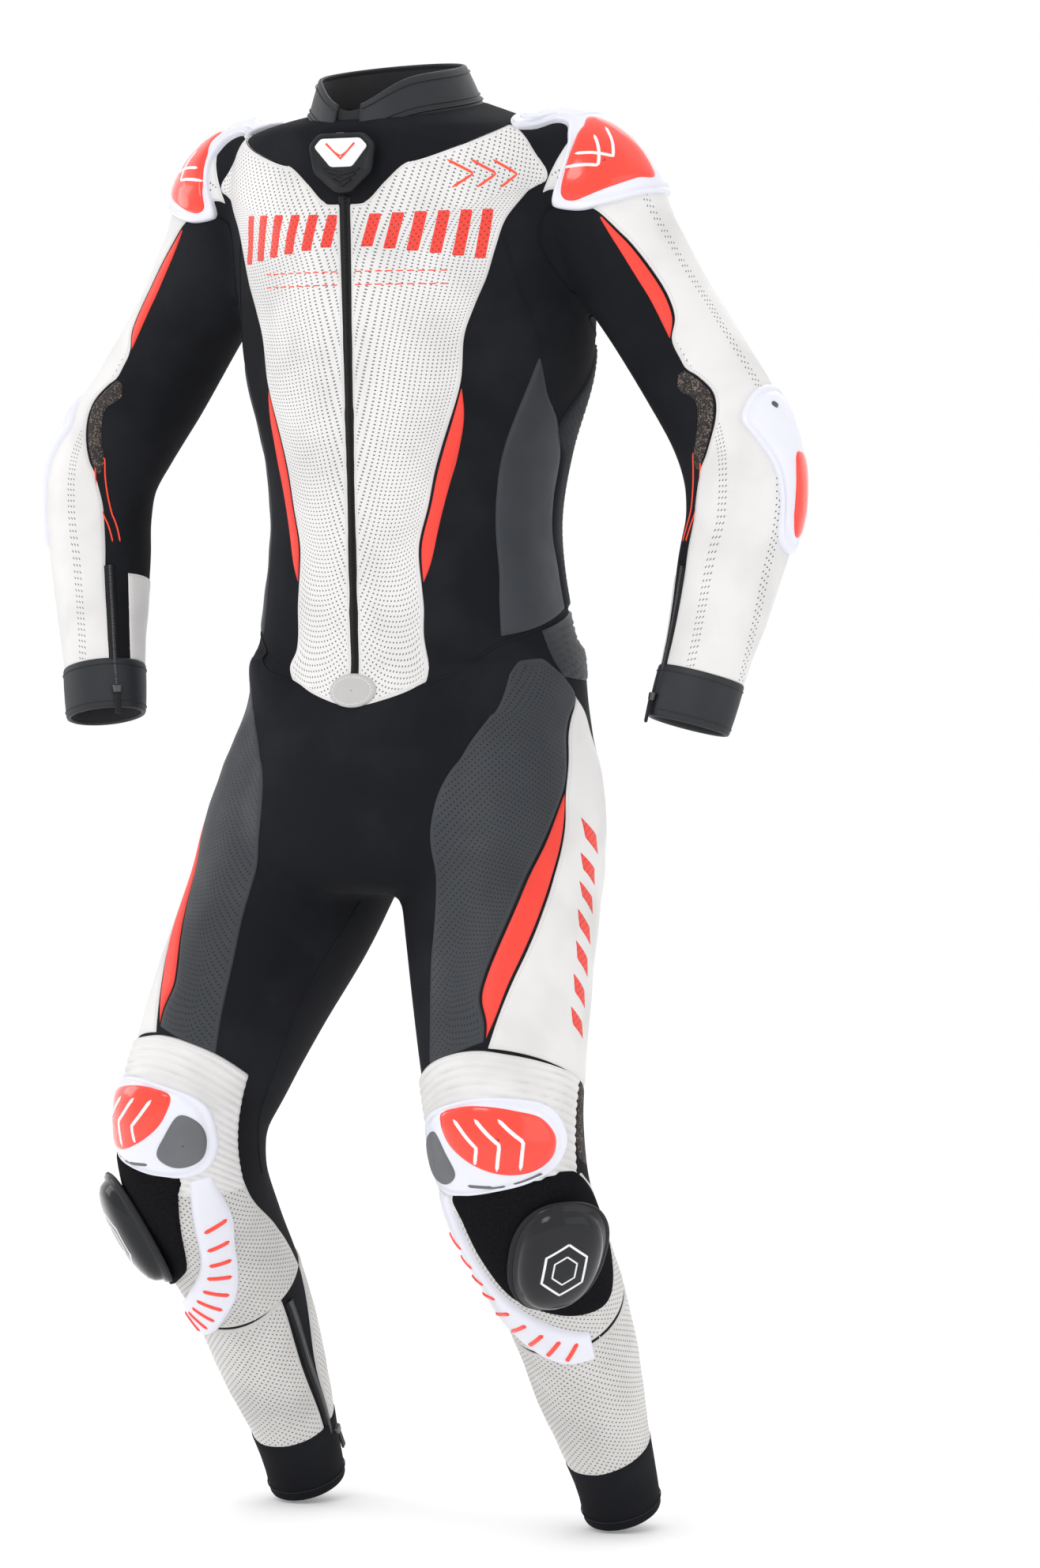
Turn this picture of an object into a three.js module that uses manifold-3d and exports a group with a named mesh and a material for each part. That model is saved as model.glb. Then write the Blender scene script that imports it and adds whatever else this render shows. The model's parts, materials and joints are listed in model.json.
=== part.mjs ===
// One-piece leather riding suit, standing as worn: torso, bent arms and bent knees, with its hard guards.
// Millimetres, +Z up, the chest faces -Y and the wearer's left is +X. Heights are counted from the ankle
// hems while the model is made. The last group moves the neck hanger point to the origin.
import * as THREE from "three";
import { mergeVertices } from "three/addons/utils/BufferGeometryUtils.js";
import Module from "manifold-3d";

const wasm = await Module();
wasm.setup();

// ---------- driving dimensions ----------
const WALL = 4; // leather with its lining
const SEAM = 0.5; // open line between two panels
const GAP = 0.4; // air between pieces that lie on each other
const FIT = 1.6; // air where a sleeve meets the body
const LIFT = 4.5; // air between a limb and the guards on it or the armour in it
const HANGER_Z = 1400; // height of the neck point that carries the suit
const ZIP_TOP = 1395; // upper end of the main zip
const ZIP_TOP_Y = -152;
const ZIP_BOTTOM = 872;
const ZIP_BOTTOM_Y = -130;
const ZIP_WIDTH = 14;
const ZIP_THICK = 2;
const WAIST_Z = 862; // seam between the jacket half and the trouser half
const YOKE_Z = 1345; // lower edge of the dark yoke in front
const LUMBAR_Z = 1080; // top of the ribbed stretch panel in the back
const THIGH_Z = 612; // where the two legs leave the seat
const COLLAR_HEIGHT = 38;
const COLLAR_WALL = 5;
const COLLAR_OPEN = 9; // degrees each side of the middle
const COLLAR_TURNS = 22;
const COLLAR_NARROWING = 400; // the height at which the collar would close to a point
const SLEEVE_CUFF = 62; // length of the wrist cuff
const ANKLE_CUFF = 58; // length of the knitted ankle
const CUP_THICK = 7; // moulded shoulder, elbow and knee cups
const PUCK = { width: 94, height: 126, thick: 20 }; // knee slider
const PAD = { width: 98, height: 134, thick: 4, deep: 36 }; // hook-and-loop pad under it
const GUARD_THICK = 5; // shin guard
const SLIDER = { width: 12, height: 18, thick: 5, stop: 3 }; // main zip slider, and the stop above it
const PULL = { width: 72, height: 58, thick: 6 }; // moulded puller of the main zip
const SMALL_SLIDER = { width: 8, height: 12, thick: 4, foot: 2 };
const SMALL_PULL = { width: 6, height: 30, thick: 2 };
const SMALL_ZIP = { width: 10, thick: 1.6 };
// Oval patch at the zip's lower end: its middle is up from there, and the tape ends clear of it.
const PATCH = { width: 52, height: 34, thick: 3, lift: 7, up: 4, clear: 12 };
const HIP_Z = 906; // top of the hip accordion
const ARMOUR_THICK = 8; // soft armour inside shoulders, elbows and knees
const SEAT_Y = -8; // side seam of the trousers
const BIG = 500; // reaches past the suit on every side

// Angles round the torso, in degrees from the middle of the front.
const FRONT_EDGE = 1.2; // edge beside the main zip
const CHEST_EDGE = 50; // chest to side panel
const SHOULDER_EDGE = 90; // front yoke to back yoke
const BACK_EDGE = 114; // side to back panel

// Spans are shares of a tube's length, from its upper end.
const NECK_T = 0.004;
const LEG_TOP_SPAN = 0.36; // the part of the legs that the seat covers
const THIGH_T = 0.2;
const ELBOW_SPAN = [0.4, 0.615];
const KNEE_SPAN = [0.402, 0.588];
const SHOULDER_CUP = { span: [0.075, 0.2], angles: [15, 165] };
const CUP_MARGIN = 7; // degrees of jacket cut away round the shoulder cup
const CUP_ROOM = 30; // depth of that cut
const ELBOW_CUP = { span: [0.435, 0.69], angles: [38, 142] };
const KNEE_CUP = { span: [0.462, 0.525], angles: [-58, 58] };
const PUCK_T = 0.585;
const PUCK_TURN = 40;
const PAD_TURN = 0.98; // degrees of shin for each millimetre of half the pad's width
const SHIN_GUARD = { span: [0.56, 0.7], angles: [-62, PUCK_TURN - (PAD.width / 2) * PAD_TURN] };
const SHOULDER_PAD = { span: [0.17, 0.3], angles: [45, 135] };
const ELBOW_PAD = { span: [0.5, 0.66], angles: [50, 130] };
const KNEE_PAD = { span: [0.45, 0.56], angles: [-50, 50] };
const SLEEVE_ZIP = { low: { z: 826, turn: -42, lift: 2 }, high: { z: 950, turn: -38 } };
const CALF_ZIP = { low: { z: 66, turn: -95, lift: 4 }, high: { z: 205, turn: -75 } };

// Stations are [x, y, z, half width, half depth], from the upper end down.
const ARM = [
  [120, -14, 1352, 58, 58],
  [188, -8, 1340, 68, 68],
  [234, -2, 1272, 60, 62],
  [270, 2, 1217, 56, 58],
  [312, 3, 1154, 56, 57],
  [345, -2, 1105, 57, 56],
  [366, -12, 1060, 57, 53],
  [369, -17, 1012, 55, 49],
  [362, -25, 972, 53, 46],
  [354, -36, 918, 48, 41],
  [345, -48, 870, 43, 36],
  [334, -62, 812, 41, 32],
];
const LEG = [
  [84, 0, 810, 92, 118],
  [98, -12, 742, 102, 116],
  [113, -35, 680, 102, 110],
  [125, -58, 622, 96, 103],
  [145, -95, 547, 87, 95],
  [163, -125, 475, 79, 86],
  [178, -142, 415, 73, 79],
  [184, -128, 352, 69, 73],
  [186, -82, 290, 63, 68],
  [186, -27, 222, 58, 63],
  [185, 16, 150, 52, 58],
  [184, 48, 97, 45, 50],
  [185, 76, 46, 38, 43],
  [185, 92, 8, 37, 41],
];
// Torso stations are [z, half width, front y, back y, rise of the back over the front per mm of depth].
const frontY = (z) =>
  ZIP_BOTTOM_Y + ((z - ZIP_BOTTOM) * (ZIP_TOP_Y - ZIP_BOTTOM_Y)) / (ZIP_TOP - ZIP_BOTTOM);
const TORSO = [
  [1422, 82, ZIP_TOP_Y + 6, 54, 0.17],
  [1410, 132, ZIP_TOP_Y + 1, 62, 0.1],
  [1392, 170, frontY(1392), 74, 0.02],
  [1350, 190, frontY(1350), 100, 0],
  [1299, 196, frontY(1299), 124, 0],
  [1219, 190, frontY(1219), 140, 0],
  [1155, 182, frontY(1155), 142, 0],
  [1083, 160, frontY(1083), 132, 0],
  [1019, 150, frontY(1019), 122, 0],
  [963, 154, frontY(963), 118, 0],
  [899, 166, frontY(899), 122, 0],
  [WAIST_Z, 176, frontY(WAIST_Z), 127, 0],
  [819, 182, -140, 130, 0],
  [771, 192, -152, 128, 0],
  [731, 200, -164, 118, 0],
  [690, 202, -170, 100, 0],
  [655, 182, -158, 72, 0],
  [640, 130, -120, 30, 0],
];

// ---------- solids ----------
const v3 = (a) => new THREE.Vector3(...a);
const DEGREE = Math.PI / 180;

function solid(geometry) {
  const bare = geometry.clone();
  bare.deleteAttribute("normal");
  bare.deleteAttribute("uv");
  const merged = mergeVertices(bare, 1e-4);
  return new wasm.Manifold(
    new wasm.Mesh({
      numProp: 3,
      vertProperties: merged.getAttribute("position").array,
      triVerts: new Uint32Array(merged.index.array),
    }),
  );
}

function geometryOf(made) {
  const mesh = made.getMesh();
  return new THREE.BufferGeometry()
    .setAttribute("position", new THREE.BufferAttribute(mesh.vertProperties, 3))
    .setIndex(new THREE.BufferAttribute(mesh.triVerts, 1));
}

// A block between two corners, placed by a matrix.
function block(low, high, place = new THREE.Matrix4()) {
  const size = v3(high).sub(v3(low));
  const middle = v3(high).add(v3(low)).multiplyScalar(0.5);
  const box = new THREE.BoxGeometry(size.x, size.y, size.z);
  box.translate(middle.x, middle.y, middle.z).applyMatrix4(place);
  return solid(box);
}

// An outline in its own XY plane, raised by a thickness and placed by a matrix.
function raised(shape, thick, place, curveSegments = 6) {
  const g = new THREE.ExtrudeGeometry(shape, { depth: thick, bevelEnabled: false, curveSegments });
  return solid(g.applyMatrix4(place));
}

// The solid of a closed mesh, with its faces turned if they point inwards.
function facingOut(geometry) {
  const made = solid(geometry);
  if (made.volume() > 0) return made;
  const index = [...geometry.index.array];
  for (let i = 0; i < index.length; i += 3) [index[i + 1], index[i + 2]] = [index[i + 2], index[i + 1]];
  geometry.setIndex(index);
  return solid(geometry);
}

// A closed solid through rings of equal length. The end caps join each point of a ring to its partner
// across the ring, which suits round tubes and curved plates alike.
function closedRings(rings) {
  const count = rings[0].length;
  const half = count / 2;
  const last = (rings.length - 1) * count;
  const index = [];
  for (let r = 0; r + 1 < rings.length; r++)
    for (let i = 0; i < count; i++) {
      const a = r * count + i;
      const b = r * count + ((i + 1) % count);
      index.push(a, b, b + count, a, b + count, a + count);
    }
  for (let k = 0; k + 1 < half; k++) {
    const [a, b] = [k, k + 1];
    const [c, d] = [count - 2 - k, count - 1 - k];
    index.push(b, a, d, b, d, c);
    index.push(last + a, last + b, last + c, last + a, last + c, last + d);
  }
  const g = new THREE.BufferGeometry().setFromPoints(rings.flat());
  g.setIndex(index);
  return facingOut(g);
}

// A tapering tube of the body. Its stations are { middle, size }, and size is the half width, the half
// depth and the rise. Angle 0 faces the front and 90 degrees the wearer's left.
class Tube {
  constructor(stations, sides, upright) {
    this.sides = sides;
    this.upright = upright;
    this.middle = new THREE.CatmullRomCurve3(stations.map((s) => v3(s.middle)));
    this.size = new THREE.CatmullRomCurve3(stations.map((s) => v3(s.size)));
    this.length = this.middle.getLength();
  }
  ringAt(t) {
    const centre = this.middle.getPoint(t);
    const size = this.size.getPoint(t);
    const along = this.middle.getTangent(t);
    if (this.upright) return { centre, size, side: v3([1, 0, 0]), back: v3([0, 1, size.z]) };
    const side = v3([1, 0, 0]).addScaledVector(along, -along.x).normalize();
    return { centre, size, side, back: new THREE.Vector3().crossVectors(side, along) };
  }
  point(t, degrees, grow = 0) {
    const { centre, size, side, back } = this.ringAt(t);
    return centre
      .addScaledVector(side, (size.x + grow) * Math.sin(degrees * DEGREE))
      .addScaledVector(back, -(size.y + grow) * Math.cos(degrees * DEGREE));
  }
  // The direction straight out of the surface at a point.
  outward(t, degrees) {
    return this.point(t, degrees, 1).sub(this.point(t, degrees)).normalize();
  }
  // The share of the tube's length at which its middle line reaches a height.
  atHeight(z) {
    let [low, high] = [0, 1];
    for (let i = 0; i < 40; i++) {
      const t = (low + high) / 2;
      if (this.middle.getPoint(t).z > z) low = t;
      else high = t;
    }
    return low;
  }
  full(from, to, grow, steps) {
    const rings = [];
    for (let i = 0; i <= steps; i++) {
      const t = from + ((to - from) * i) / steps;
      const ring = [];
      for (let k = 0; k < this.sides; k++) ring.push(this.point(t, (360 * (k + 0.5)) / this.sides, grow));
      rings.push(ring);
    }
    return closedRings(rings);
  }
  // A length of leather tube, open at both ends.
  hollow(from, to, steps, inner = -WALL, outer = 0) {
    const { sides } = this;
    const points = [];
    const index = [];
    for (let i = 0; i <= steps; i++)
      for (const grow of [outer, inner])
        for (let k = 0; k < sides; k++)
          points.push(this.point(from + ((to - from) * i) / steps, (360 * (k + 0.5)) / sides, grow));
    const quad = (a, b, c, d) => index.push(a, b, c, a, c, d);
    const row = 2 * sides;
    for (let k = 0; k < sides; k++) {
      const next = (k + 1) % sides;
      for (let i = 0; i < steps; i++) {
        const r = i * row;
        quad(r + k, r + row + k, r + row + next, r + next);
        quad(r + sides + k, r + sides + next, r + row + sides + next, r + row + sides + k);
      }
      const end = steps * row;
      quad(k, next, sides + next, sides + k);
      quad(end + k, end + sides + k, end + sides + next, end + next);
    }
    const g = new THREE.BufferGeometry().setFromPoints(points);
    g.setIndex(index);
    return facingOut(g);
  }
  // A curved plate between two shares of the length and two angles, a seam's width short on each side.
  plate([from, to], [a0, a1], inner, outer, steps, turns) {
    const rings = [];
    for (let i = 0; i <= steps; i++) {
      const t = from + SEAM / this.length + ((to - from - (2 * SEAM) / this.length) * i) / steps;
      const trim = SEAM / (Math.min(this.ringAt(t).size.x, this.ringAt(t).size.y) + inner) / DEGREE;
      const angle = (k) => a0 + trim + ((a1 - a0 - 2 * trim) * k) / turns;
      const ring = [];
      for (let k = 0; k <= turns; k++) ring.push(this.point(t, angle(k), outer));
      for (let k = turns; k >= 0; k--) ring.push(this.point(t, angle(k), inner));
      rings.push(ring);
    }
    return closedRings(rings);
  }
}

const limb = (stations, sides) =>
  new Tube(
    stations.map(([x, y, z, wide, deep]) => ({ middle: [x, y, z], size: [wide, deep, 0] })),
    sides,
    false,
  );
const torso = new Tube(
  TORSO.map(([z, wide, front, back, rise]) => ({
    middle: [0, (front + back) / 2, z],
    size: [wide, (back - front) / 2, rise],
  })),
  24,
  true,
);
const arm = limb(ARM, 16);
const leg = limb(LEG, 16);
const ARM_SEAM = SEAM / arm.length;
const LEG_SEAM = SEAM / leg.length;

// ---------- assembly ----------
const suit = new THREE.Group();
const frame = new THREE.Group();
frame.position.z = -HANGER_Z;
frame.add(suit);

const FINISH = {
  white: { color: 0xebe9e7, roughness: 0.5 },
  black: { color: 0x2b2e33, roughness: 0.55 },
  stretch: { color: 0x202126, roughness: 0.9 },
  grey: { color: 0x4a4e54, roughness: 0.6 },
  cup: { color: 0xe9e9f2, roughness: 0.35 },
  rubber: { color: 0x1c1e24, roughness: 0.3 },
  foam: { color: 0x3a3d42, roughness: 0.9 },
  zip: { color: 0x24262b, roughness: 0.4, metalness: 0.6 },
};

function place(name, made, finish) {
  const mesh = new THREE.Mesh(geometryOf(made), new THREE.MeshStandardMaterial(FINISH[finish]));
  mesh.name = name;
  suit.add(mesh);
}

// The same piece on the wearer's left, as modelled, and mirrored on the right.
function placePair(name, made, finish) {
  place(`${name}_left`, made, finish);
  place(`${name}_right`, made.mirror([1, 0, 0]), finish);
}

// ----- jacket half -----
const heights = (high, low) => [torso.atHeight(high), torso.atHeight(low)];
const both = (made) => made.add(made.mirror([1, 0, 0]));
const armHoles = both(arm.full(0, ELBOW_SPAN[0], FIT, 9));
const cupHoles = both(
  arm.plate(
    [SHOULDER_CUP.span[0] - 0.01, SHOULDER_CUP.span[1] + 0.01],
    [SHOULDER_CUP.angles[0] - CUP_MARGIN, SHOULDER_CUP.angles[1] + CUP_MARGIN],
    -CUP_ROOM,
    LIFT + CUP_THICK + FIT,
    4,
    8,
  ),
);
const openings = armHoles.add(cupHoles);
const jacket = (span, angles, steps, turns) =>
  torso.plate(span, angles, -WALL, 0, steps, turns).subtract(openings);
const biggest = (made) =>
  made.decompose().reduce((best, next) => (next.volume() > best.volume() ? next : best));

const yokeSpan = [NECK_T, torso.atHeight(YOKE_Z)];
const sideways = [CHEST_EDGE, BACK_EDGE];
const acrossBack = [BACK_EDGE, 360 - BACK_EDGE];
placePair("yoke", biggest(jacket(yokeSpan, [FRONT_EDGE, SHOULDER_EDGE], 5, 7)), "black");
place("back_yoke", biggest(jacket(yokeSpan, [SHOULDER_EDGE, 360 - SHOULDER_EDGE], 5, 14)), "black");
placePair("chest", biggest(jacket(heights(YOKE_Z, WAIST_Z), [FRONT_EDGE, CHEST_EDGE], 10, 4)), "white");
placePair("side", biggest(jacket(heights(YOKE_Z, HIP_Z), sideways, 9, 6)), "black");
placePair("hip_accordion", torso.plate(heights(HIP_Z, WAIST_Z), sideways, -WALL, 0, 2, 6), "black");
place("back_panel", biggest(jacket(heights(YOKE_Z, LUMBAR_Z), acrossBack, 6, 10)), "white");
place("lumbar_stretch", torso.plate(heights(LUMBAR_Z, WAIST_Z), acrossBack, -WALL, 0, 4, 10), "stretch");

// The collar stands on the neck ring, leaning back with it, and is open in front.
const neck = torso.ringAt(0);
const collarRing = (lift, wall) => {
  const ring = [];
  const angle = (k) => COLLAR_OPEN + ((360 - 2 * COLLAR_OPEN) * k) / COLLAR_TURNS;
  const at = (degrees, grow) => {
    const slope = 1 - lift / COLLAR_NARROWING;
    return new THREE.Vector3(
      (neck.size.x * slope + grow) * Math.sin(degrees * DEGREE),
      neck.centre.y - (neck.size.y * slope + grow) * Math.cos(degrees * DEGREE),
      neck.centre.z + GAP + lift - neck.size.y * neck.size.z * Math.cos(degrees * DEGREE),
    );
  };
  for (let k = 0; k <= COLLAR_TURNS; k++) ring.push(at(angle(k), 0));
  for (let k = COLLAR_TURNS; k >= 0; k--) ring.push(at(angle(k), -wall));
  return ring;
};
const collarHeights = [0, COLLAR_HEIGHT / 2, COLLAR_HEIGHT];
place("collar", closedRings(collarHeights.map((h) => collarRing(h, COLLAR_WALL))), "black");

// The main zip runs straight down the front, on a line that leans a little.
const zipLine = v3([0, ZIP_TOP_Y - ZIP_BOTTOM_Y, ZIP_TOP - ZIP_BOTTOM]);
const zipLength = zipLine.length();
const zipUp = zipLine.clone().normalize();
const zipOut = new THREE.Vector3().crossVectors(v3([1, 0, 0]), zipUp);
// In the zip's own frame X is across, Y is up along the teeth and Z is out of the chest.
const zipPlace = (up, out) =>
  new THREE.Matrix4()
    .makeBasis(v3([1, 0, 0]), zipUp, zipOut)
    .setPosition(v3([0, ZIP_BOTTOM_Y, ZIP_BOTTOM]).addScaledVector(zipUp, up).addScaledVector(zipOut, out));
const onTape = 2 * GAP + ZIP_THICK;
const sliderUp = zipLength - SLIDER.height - SLIDER.stop;
const tapeFoot = PATCH.height / 2 + PATCH.clear;
place(
  "zip_tape",
  block([-ZIP_WIDTH / 2, tapeFoot, 0], [ZIP_WIDTH / 2, zipLength, ZIP_THICK], zipPlace(0, GAP)),
  "zip",
);
place(
  "main_zip_slider",
  block(
    [-SLIDER.width / 2, 0, 0],
    [SLIDER.width / 2, SLIDER.height, SLIDER.thick],
    zipPlace(sliderUp, onTape),
  ),
  "zip",
);

// The puller is a six-sided moulded tab that hangs from the slider.
const tab = new THREE.Shape();
const [halfTab, tabHeight] = [PULL.width / 2, PULL.height];
tab.moveTo(-halfTab * 0.55, 0);
tab.lineTo(halfTab * 0.55, 0);
tab.lineTo(halfTab, -tabHeight * 0.3);
tab.lineTo(halfTab * 0.35, -tabHeight);
tab.lineTo(-halfTab * 0.35, -tabHeight);
tab.lineTo(-halfTab, -tabHeight * 0.3);
const onSlider = zipPlace(sliderUp + SLIDER.height, onTape + SLIDER.thick + GAP);
place("main_zip_pull", raised(tab, PULL.thick, onSlider), "rubber");

const patch = new THREE.Shape();
patch.absellipse(0, 0, PATCH.width / 2, PATCH.height / 2, 0, 2 * Math.PI);
place("zip_end_patch", raised(patch, PATCH.thick, zipPlace(PATCH.up, PATCH.lift)), "white");

// ----- trouser half -----
const crotch = (grow) =>
  torso.full(torso.atHeight(WAIST_Z - SEAM), 1, grow, 6).add(both(leg.full(0, LEG_TOP_SPAN, grow, 5)));
const waistHole = torso.full(...heights(WAIST_Z + 6, WAIST_Z - 8), -WALL, 2);
const pelvis = crotch(0)
  .subtract(crotch(-WALL).add(waistHole))
  .intersect(block([-BIG, -BIG, THIGH_Z + SEAM], [BIG, BIG, WAIST_Z - SEAM]));
const pelvisFront = pelvis.intersect(block([-BIG, -BIG, 0], [BIG, SEAT_Y - SEAM, BIG * 3]));
const pelvisBack = pelvis.intersect(block([-BIG, SEAT_Y + SEAM, 0], [BIG, BIG, BIG * 3]));
place("crotch_panel", biggest(pelvisFront), "stretch");
place("seat_panel", biggest(pelvisBack), "white");
const thigh = leg
  .hollow(THIGH_T, KNEE_SPAN[0] - LEG_SEAM, 4)
  .intersect(block([0, -BIG, 0], [BIG, BIG, THIGH_Z - SEAM]));
placePair("thigh", biggest(thigh), "grey");
placePair("knee_stretch", leg.hollow(KNEE_SPAN[0] + LEG_SEAM, KNEE_SPAN[1] - LEG_SEAM, 4), "stretch");

// ----- sleeves -----
const CUFF_T = 1 - SLEEVE_CUFF / arm.length;
const ANKLE_T = 1 - ANKLE_CUFF / leg.length;
const body = torso.full(0, torso.atHeight(900), FIT, 10);
placePair("sleeve", biggest(arm.hollow(0, ELBOW_SPAN[0] - ARM_SEAM, 9).subtract(body)), "white");
placePair("elbow_stretch", arm.hollow(ELBOW_SPAN[0] + ARM_SEAM, ELBOW_SPAN[1] - ARM_SEAM, 4), "stretch");
placePair("forearm", arm.hollow(ELBOW_SPAN[1] + ARM_SEAM, CUFF_T - ARM_SEAM, 4), "white");
placePair("cuff", arm.hollow(CUFF_T + ARM_SEAM, 1, 1), "black");
placePair("shin", leg.hollow(KNEE_SPAN[1] + LEG_SEAM, ANKLE_T - LEG_SEAM, 5), "white");
placePair("ankle_cuff", leg.hollow(ANKLE_T + LEG_SEAM, 1, 1), "stretch");

// ----- guards -----
const onLimb = [LIFT, LIFT + CUP_THICK];
placePair("shoulder_cup", arm.plate(SHOULDER_CUP.span, SHOULDER_CUP.angles, ...onLimb, 4, 10), "cup");
placePair("elbow_cup", arm.plate(ELBOW_CUP.span, ELBOW_CUP.angles, ...onLimb, 4, 5), "cup");
placePair("knee_cup", leg.plate(KNEE_CUP.span, KNEE_CUP.angles, ...onLimb, 4, 8), "cup");
const onShin = [LIFT, LIFT + GUARD_THICK];
placePair("shin_guard", leg.plate(SHIN_GUARD.span, SHIN_GUARD.angles, ...onShin, 4, 4), "cup");
const inside = [-WALL - LIFT - ARMOUR_THICK, -WALL - LIFT];
placePair("shoulder_armour", arm.plate(SHOULDER_PAD.span, SHOULDER_PAD.angles, ...inside, 4, 6), "foam");
placePair("elbow_armour", arm.plate(ELBOW_PAD.span, ELBOW_PAD.angles, ...inside, 4, 5), "foam");
placePair("knee_armour", leg.plate(KNEE_PAD.span, KNEE_PAD.angles, ...inside, 4, 6), "foam");

// The slider pad fills the hollow between the round shin and its own flat face.
const puckOut = leg.outward(PUCK_T, PUCK_TURN);
const puckDown = leg.middle.getTangent(PUCK_T);
const puckAcross = new THREE.Vector3().crossVectors(puckDown, puckOut).normalize();
const puckUp = new THREE.Vector3().crossVectors(puckOut, puckAcross);
const puckPlace = (out) =>
  new THREE.Matrix4()
    .makeBasis(puckAcross, puckUp, puckOut)
    .setPosition(leg.point(PUCK_T, PUCK_TURN).addScaledVector(puckOut, out));
const oval = (width, height) => {
  const shape = new THREE.Shape();
  shape.absellipse(0, 0, width / 2, height / 2, 0, 2 * Math.PI);
  return shape;
};
const legSpace = leg.full(0.45, 0.8, LIFT, 12);
placePair(
  "slider_pad",
  raised(oval(PAD.width, PAD.height), PAD.deep, puckPlace(PAD.thick - PAD.deep), 7).subtract(legSpace),
  "stretch",
);
placePair(
  "knee_puck",
  raised(oval(PUCK.width, PUCK.height), PUCK.thick, puckPlace(PAD.thick + GAP), 7),
  "rubber",
);

// ----- small zips -----
// Each runs straight between two points of its limb and lies clear of the bulge between them.
function smallZip(name, tube, low, high) {
  const [lowT, highT] = [tube.atHeight(low.z), tube.atHeight(high.z)];
  const bottom = tube.point(lowT, low.turn);
  const top = tube.point(highT, high.turn);
  const up = top.clone().sub(bottom);
  const length = up.length();
  up.normalize();
  const out = tube.outward((lowT + highT) / 2, (low.turn + high.turn) / 2);
  out.addScaledVector(up, -out.dot(up)).normalize();
  const across = new THREE.Vector3().crossVectors(up, out);
  const place = (lift) =>
    new THREE.Matrix4().makeBasis(across, up, out).setPosition(bottom.clone().addScaledVector(out, lift));
  const half = SMALL_ZIP.width / 2;
  const tape = block([-half, 0, 0], [half, length, SMALL_ZIP.thick], place(low.lift));
  placePair(`${name}_zip_tape`, tape, "zip");
  const onTop = low.lift + SMALL_ZIP.thick + GAP;
  const slider = block(
    [-SMALL_SLIDER.width / 2, SMALL_SLIDER.foot, 0],
    [SMALL_SLIDER.width / 2, SMALL_SLIDER.foot + SMALL_SLIDER.height, SMALL_SLIDER.thick],
    place(onTop),
  );
  const pullTop = 2 * SMALL_SLIDER.foot;
  const pull = block(
    [-SMALL_PULL.width / 2, pullTop - SMALL_PULL.height, SMALL_SLIDER.thick - SMALL_PULL.thick],
    [SMALL_PULL.width / 2, pullTop, SMALL_SLIDER.thick],
    place(onTop),
  );
  placePair(`${name}_zip_slider`, slider.add(pull), "zip");
}
smallZip("sleeve", arm, SLEEVE_ZIP.low, SLEEVE_ZIP.high);
smallZip("calf", leg, CALF_ZIP.low, CALF_ZIP.high);

export default frame;
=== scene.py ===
"""One-piece motorcycle racing suit: leather, stretch fabric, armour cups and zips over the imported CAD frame.

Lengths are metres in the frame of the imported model, whose origin is the hanger point inside the collar.
Heights called z are millimetres above the hem. An angle on a tube is in degrees, 0 at the front and
90 on the outer side.
"""

import json
import math

import bmesh
import bpy
import numpy as np
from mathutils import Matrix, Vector
from mathutils.bvhtree import BVHTree

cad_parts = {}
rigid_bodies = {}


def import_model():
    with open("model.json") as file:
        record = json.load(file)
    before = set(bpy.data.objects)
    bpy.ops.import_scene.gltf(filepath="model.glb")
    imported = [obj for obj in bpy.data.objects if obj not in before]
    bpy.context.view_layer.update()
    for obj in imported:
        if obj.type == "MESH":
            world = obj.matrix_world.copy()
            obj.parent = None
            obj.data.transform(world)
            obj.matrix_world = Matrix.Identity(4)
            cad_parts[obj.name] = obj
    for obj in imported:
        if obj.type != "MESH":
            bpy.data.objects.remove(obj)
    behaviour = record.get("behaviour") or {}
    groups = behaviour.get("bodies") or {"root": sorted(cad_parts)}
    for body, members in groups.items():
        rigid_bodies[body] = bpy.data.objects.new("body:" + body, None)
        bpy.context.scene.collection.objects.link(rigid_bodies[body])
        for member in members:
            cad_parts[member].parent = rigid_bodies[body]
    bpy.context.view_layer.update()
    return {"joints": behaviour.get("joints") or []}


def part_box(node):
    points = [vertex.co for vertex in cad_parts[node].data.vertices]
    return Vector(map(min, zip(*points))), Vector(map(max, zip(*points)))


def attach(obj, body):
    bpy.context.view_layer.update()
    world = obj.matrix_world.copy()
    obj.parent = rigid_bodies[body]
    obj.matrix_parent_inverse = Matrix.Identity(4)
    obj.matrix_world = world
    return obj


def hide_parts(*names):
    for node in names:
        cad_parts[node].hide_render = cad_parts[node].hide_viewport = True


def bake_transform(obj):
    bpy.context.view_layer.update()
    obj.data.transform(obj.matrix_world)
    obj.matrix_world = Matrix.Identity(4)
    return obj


for leftover in list(bpy.data.objects):
    bpy.data.objects.remove(leftover)
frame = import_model()

MM = 0.001
HANGER_Z = 1400  # height of the frame's origin above the hem
SIDES = {"left": 1, "right": -1}

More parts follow.
